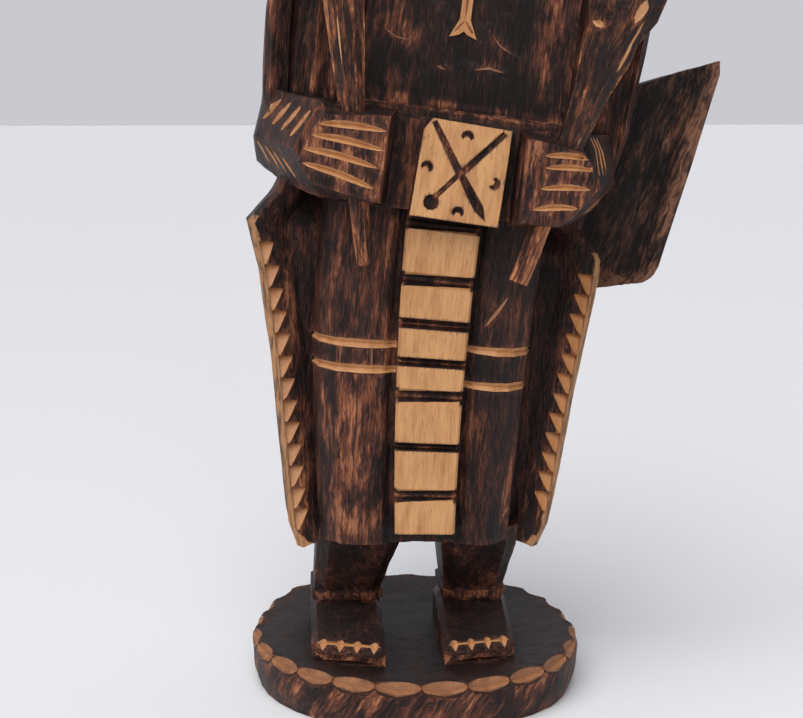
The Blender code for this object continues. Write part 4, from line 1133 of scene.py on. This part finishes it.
def figureBare(place):
    # bare wood along the cape's notched edges and at its two points
    x, depth, height = place.T
    reach = np.where(x < 0, *(np.interp(height, *zip(*capeEdge[side])) for side in (-1, 1)))
    strip = np.interp(np.abs(x) - reach, (-0.0056, -0.0042), (0.0, 1.0)) \
        * np.interp(depth, (-0.018, -0.012), (1.0, 0.0))
    bare = np.where(within(height, 0.076, 0.232) & (depth > -0.0265), strip * figureLook["strip"], 0.0)
    tips = within(height, 0.074, 0.081) & (np.abs(x) > reach - figureLook["tipReach"]) & (depth < -0.016)
    return np.where(tips, figureLook["tip"], bare)


def baseGrain(plain, depth):
    # the grain slants round the base's side
    around = np.arctan2(plain[:, 0], -plain[:, 1]) * figureLook["baseRadius"]
    lean = math.radians(figureLook["grainLean"])
    return np.stack([around * math.cos(lean) - plain[:, 2] * math.sin(lean), depth * 0.2,
                     around * math.sin(lean) + plain[:, 2] * math.cos(lean)], axis=1)


def figurePiece():
    paintPanels(figureMesh)
    cutters = figureCutters()
    print("cutters laid out", [len(cutter.data.polygons) for cutter in cutters])
    mesh = refine(figureMesh, lambda middles: np.maximum(figureSize(middles) * 3, 0.0055))
    mesh = refine(carve(mesh, "figure", cutters), figureSize)
    place, normals, plain = straightened(placesOf(mesh)), placesOf(mesh, "vertices", "normal"), placesOf(mesh)
    x, depth, height = place.T
    side = (height < figureLook["baseTop"]) & (normals[:, 2] < 0.5)
    rub = np.where(side, figureLook["baseRub"], figureRub(place, normals))
    marks = np.where(plain[:, 2] < 0.0006, 0.0, 1.0)
    marks = np.where(within(height, 0.385, 0.455) & (depth < -0.015), figureLook["faceMarks"], marks)
    apron = (depth < -0.045) & (np.abs(x) < 0.024) & within(height, 0.080, 0.292)
    marks = np.where(apron, figureLook["apronMarks"], marks)
    bare = figureBare(place)
    place = np.where(side[:, None], baseGrain(plain, depth), place)
    return finished("warriorCarving", mesh, figureLook, place, rub, bare, marks)


clubs = {
    -1: {"node": "right_hand_club", "name": "rightHandClub", "start": (-0.0377, -0.0630, 0.2155),
         "lean": 11.6,
         "chips": ((((-0.0578, 0.2930), (-0.0652, 0.3290)), 0.0011),),
         "rub": 0.85, "stubRub": 1.10},
    1: {"node": "left_hand_club", "name": "leftHandClub", "start": (0.0350, -0.0630, 0.2165), "lean": 12.8,
        "chips": ((((0.0500, 0.3290), (0.0560, 0.3480)), 0.0030),
                  (((0.0690, 0.3400), (0.0790, 0.3540)), 0.0042),
                  (((0.0655, 0.3180), (0.0740, 0.3420)), 0.0008)),
        "rub": 0.46, "stubRub": 0.90},
}
clubLook = {"slot": "club_wood", "sharp": 30, "size": 0.0020, "chipDepth": 0.45, "stub": 0.05,
            "finish": {"Crease Angle": 0.30, "Softening": 3, "Mark Depth": 0.00050, "Mark Width": 0.0065,
                       "Mark Length": 0.024}}


def clubPiece(side):
    club = clubs[side]
    mesh = wooded(mergedCopy(club["node"]), "clubStain")
    skin = skinOf(mesh)
    leaves = [frontLeaf(marks, half, power=0.5, count=9, skin=skin) for marks, half in club["chips"]]
    mesh = carve(mesh, club["name"], [
        cutterSet(club["name"] + "Cuts", leaves, clubLook["chipDepth"], woods["paleCut"], 2.0)])
    mesh = refine(mesh, lambda middles: clubLook["size"])
    turn = math.radians(club["lean"]) * side
    start = Vector(club["start"])
    end = start + Vector((math.sin(turn), 0.0, math.cos(turn))) * 0.2
    place = axisPlaces(mesh, carried(start), carried(end))
    rub = np.full(len(place), club["rub"]) + club["stubRub"] * (place[:, 2] < clubLook["stub"])
    # each club is moved apart in the wood, so that their streaks differ
    return finished(club["name"], mesh, {**clubLook, "node": club["node"]}, place + side * 0.3, rub,
                    np.zeros(len(place)), np.ones(len(place)))


shieldLook = {"node": "shield", "slot": "shield_wood", "sharp": 32,
              "finish": {"Crease Angle": 0.60, "Softening": 12, "Mark Depth": 0.00120, "Mark Width": 0.0085,
                         "Mark Length": 0.060},
              "bottom": (0.0940, 0.0110, 0.2010), "top": (0.1190, 0.0110, 0.3040), "foot": 0.2030,
              "rise": 0.1080, "outer": (0.1215, 0.1548), "size": 0.0024, "rub": 0.30,
              "band": (1.45, 0.0088), "footHighlightBand": (1.7, 0.045), "patch": (0.75, 0.016, 0.006, 0.62, 0.30)}


def shieldPiece():
    mesh = refine(wooded(mergedCopy("shield"), "shieldStain"), lambda middles: shieldLook["size"])
    place = axisPlaces(mesh, leaned(shieldLook["bottom"]), leaned(shieldLook["top"]))
    x, _, height = placesOf(mesh).T
    up = (height - shieldLook["foot"]) / shieldLook["rise"]
    edge = np.interp(up, (0.0, 1.0), shieldLook["outer"]) - x
    # the band along the outer edge is worn stain; the band at the foot is a painted highlight on the lower
    # rim, added to the rub
    (band, wide), (foot, high) = shieldLook["band"], shieldLook["footHighlightBand"]
    rub = shieldLook["rub"] + band * np.exp(-(edge / wide) ** 4) \
        + foot * np.exp(-(np.maximum(up, 0.0) / high) ** 2)
    amount, across, wide, middle, high = shieldLook["patch"]
    rub += amount * np.exp(-((edge - across) / wide) ** 2) * np.exp(-((up - middle) / high) ** 2)
    return finished("shieldBoard", mesh, shieldLook, place, rub, np.zeros(len(place)), np.ones(len(place)))


pieces = [figurePiece(), clubPiece(-1), clubPiece(1), shieldPiece()]
print(len(pieces), "pieces finished")

# Floor, light and camera

setting = {
    "floorHalf": 14.0, "floorColor": (0.77, 0.77, 0.785), "floorRoughness": 0.85, "floorShine": 0.2,
    "skyColor": (0.94, 0.94, 1.0), "skyFront": 0.20, "skyBehind": 0.62,
    "sun": {"energy": 2.3, "spread": 55.0, "from": (-0.45, -0.75, 1.35), "color": (0.98, 0.99, 1.0)},
    "fill": {"place": (-0.3, -1.9, 1.2), "aim": (0.0, 0.0, 0.2), "size": (1.6, 1.2), "power": 15.0,
             "color": (1.0, 0.97, 0.93), "shine": 0.25},
    "camera": {"lens": 74.2, "target": (-0.0068, 0.0, 0.166), "distance": 0.8388,
               "around": -4.0, "down": 9.2},
}


def lit(name, kind, values):
    light = bpy.data.lights.new(name, kind)
    light.color = values["color"]
    item = bpy.data.objects.new(name, light)
    bpy.context.scene.collection.objects.link(item)
    return item, light


def backdrop():
    # a plain pale floor that runs to the horizon, so that it hides the figure from no side
    half = setting["floorHalf"]
    corners = [(-half, -half, 0.0), (half, -half, 0.0), (half, half, 0.0), (-half, half, 0.0)]
    mesh = bpy.data.meshes.new("floor")
    mesh.from_pydata(corners, [], [(0, 1, 2, 3)])
    paper = bpy.data.materials.new("palePaper")
    paper.use_nodes = True
    surface = paper.node_tree.nodes["Principled BSDF"]
    surface.inputs["Base Color"].default_value = (*setting["floorColor"], 1.0)
    surface.inputs["Roughness"].default_value = setting["floorRoughness"]
    surface.inputs["Specular IOR Level"].default_value = setting["floorShine"]
    mesh.materials.append(paper)
    linked("floor", mesh)


def softRoom():
    # dim in front, so that the dark wood stays dark, and pale behind
    world = bpy.data.worlds.new("softRoom")
    world.use_nodes = True
    tree = world.node_tree
    way = node(tree, "ShaderNodeSeparateXYZ", {0: tree.nodes.new("ShaderNodeTexCoord").outputs["Generated"]})
    light = tree.nodes["Background"].inputs
    light["Color"].default_value = (*setting["skyColor"], 1.0)
    tree.links.new(ranged(tree, way.outputs["Y"], -0.4, 0.6, setting["skyFront"], setting["skyBehind"]),
                   light["Strength"])
    bpy.context.scene.world = world


def sunLamp():
    values = setting["sun"]
    item, light = lit("softSun", "SUN", values)
    light.energy, light.angle = values["energy"], math.radians(values["spread"])
    item.rotation_euler = Vector(values["from"]).to_track_quat("Z", "Y").to_euler()


def fillLamp():
    # a broad, weak light from the front that hardly shines on the varnish
    values = setting["fill"]
    item, light = lit("frontFill", "AREA", values)
    light.shape, (light.size, light.size_y) = "RECTANGLE", values["size"]
    light.energy, light.specular_factor = values["power"], values["shine"]
    item.location = values["place"]
    item.rotation_euler = (Vector(values["aim"]) - item.location).to_track_quat("-Z", "Y").to_euler()


def placedCamera():
    values = setting["camera"]
    camera = bpy.data.cameras.new("camera")
    camera.lens, camera.sensor_width, camera.clip_start = values["lens"], 36.0, 0.05
    eye = bpy.data.objects.new("camera", camera)
    around, down = math.radians(values["around"]), math.radians(values["down"])
    away = Vector((math.sin(around) * math.cos(down), -math.cos(around) * math.cos(down), math.sin(down)))
    eye.location = Vector(values["target"]) + away * values["distance"]
    eye.rotation_euler = (Vector(values["target"]) - eye.location).to_track_quat("-Z", "Y").to_euler()
    bpy.context.scene.collection.objects.link(eye)
    return eye


backdrop()
softRoom()
sunLamp()
fillLamp()
bpy.context.scene.camera = placedCamera()
bpy.context.scene.view_settings.view_transform = "Standard"
print("setting ready")
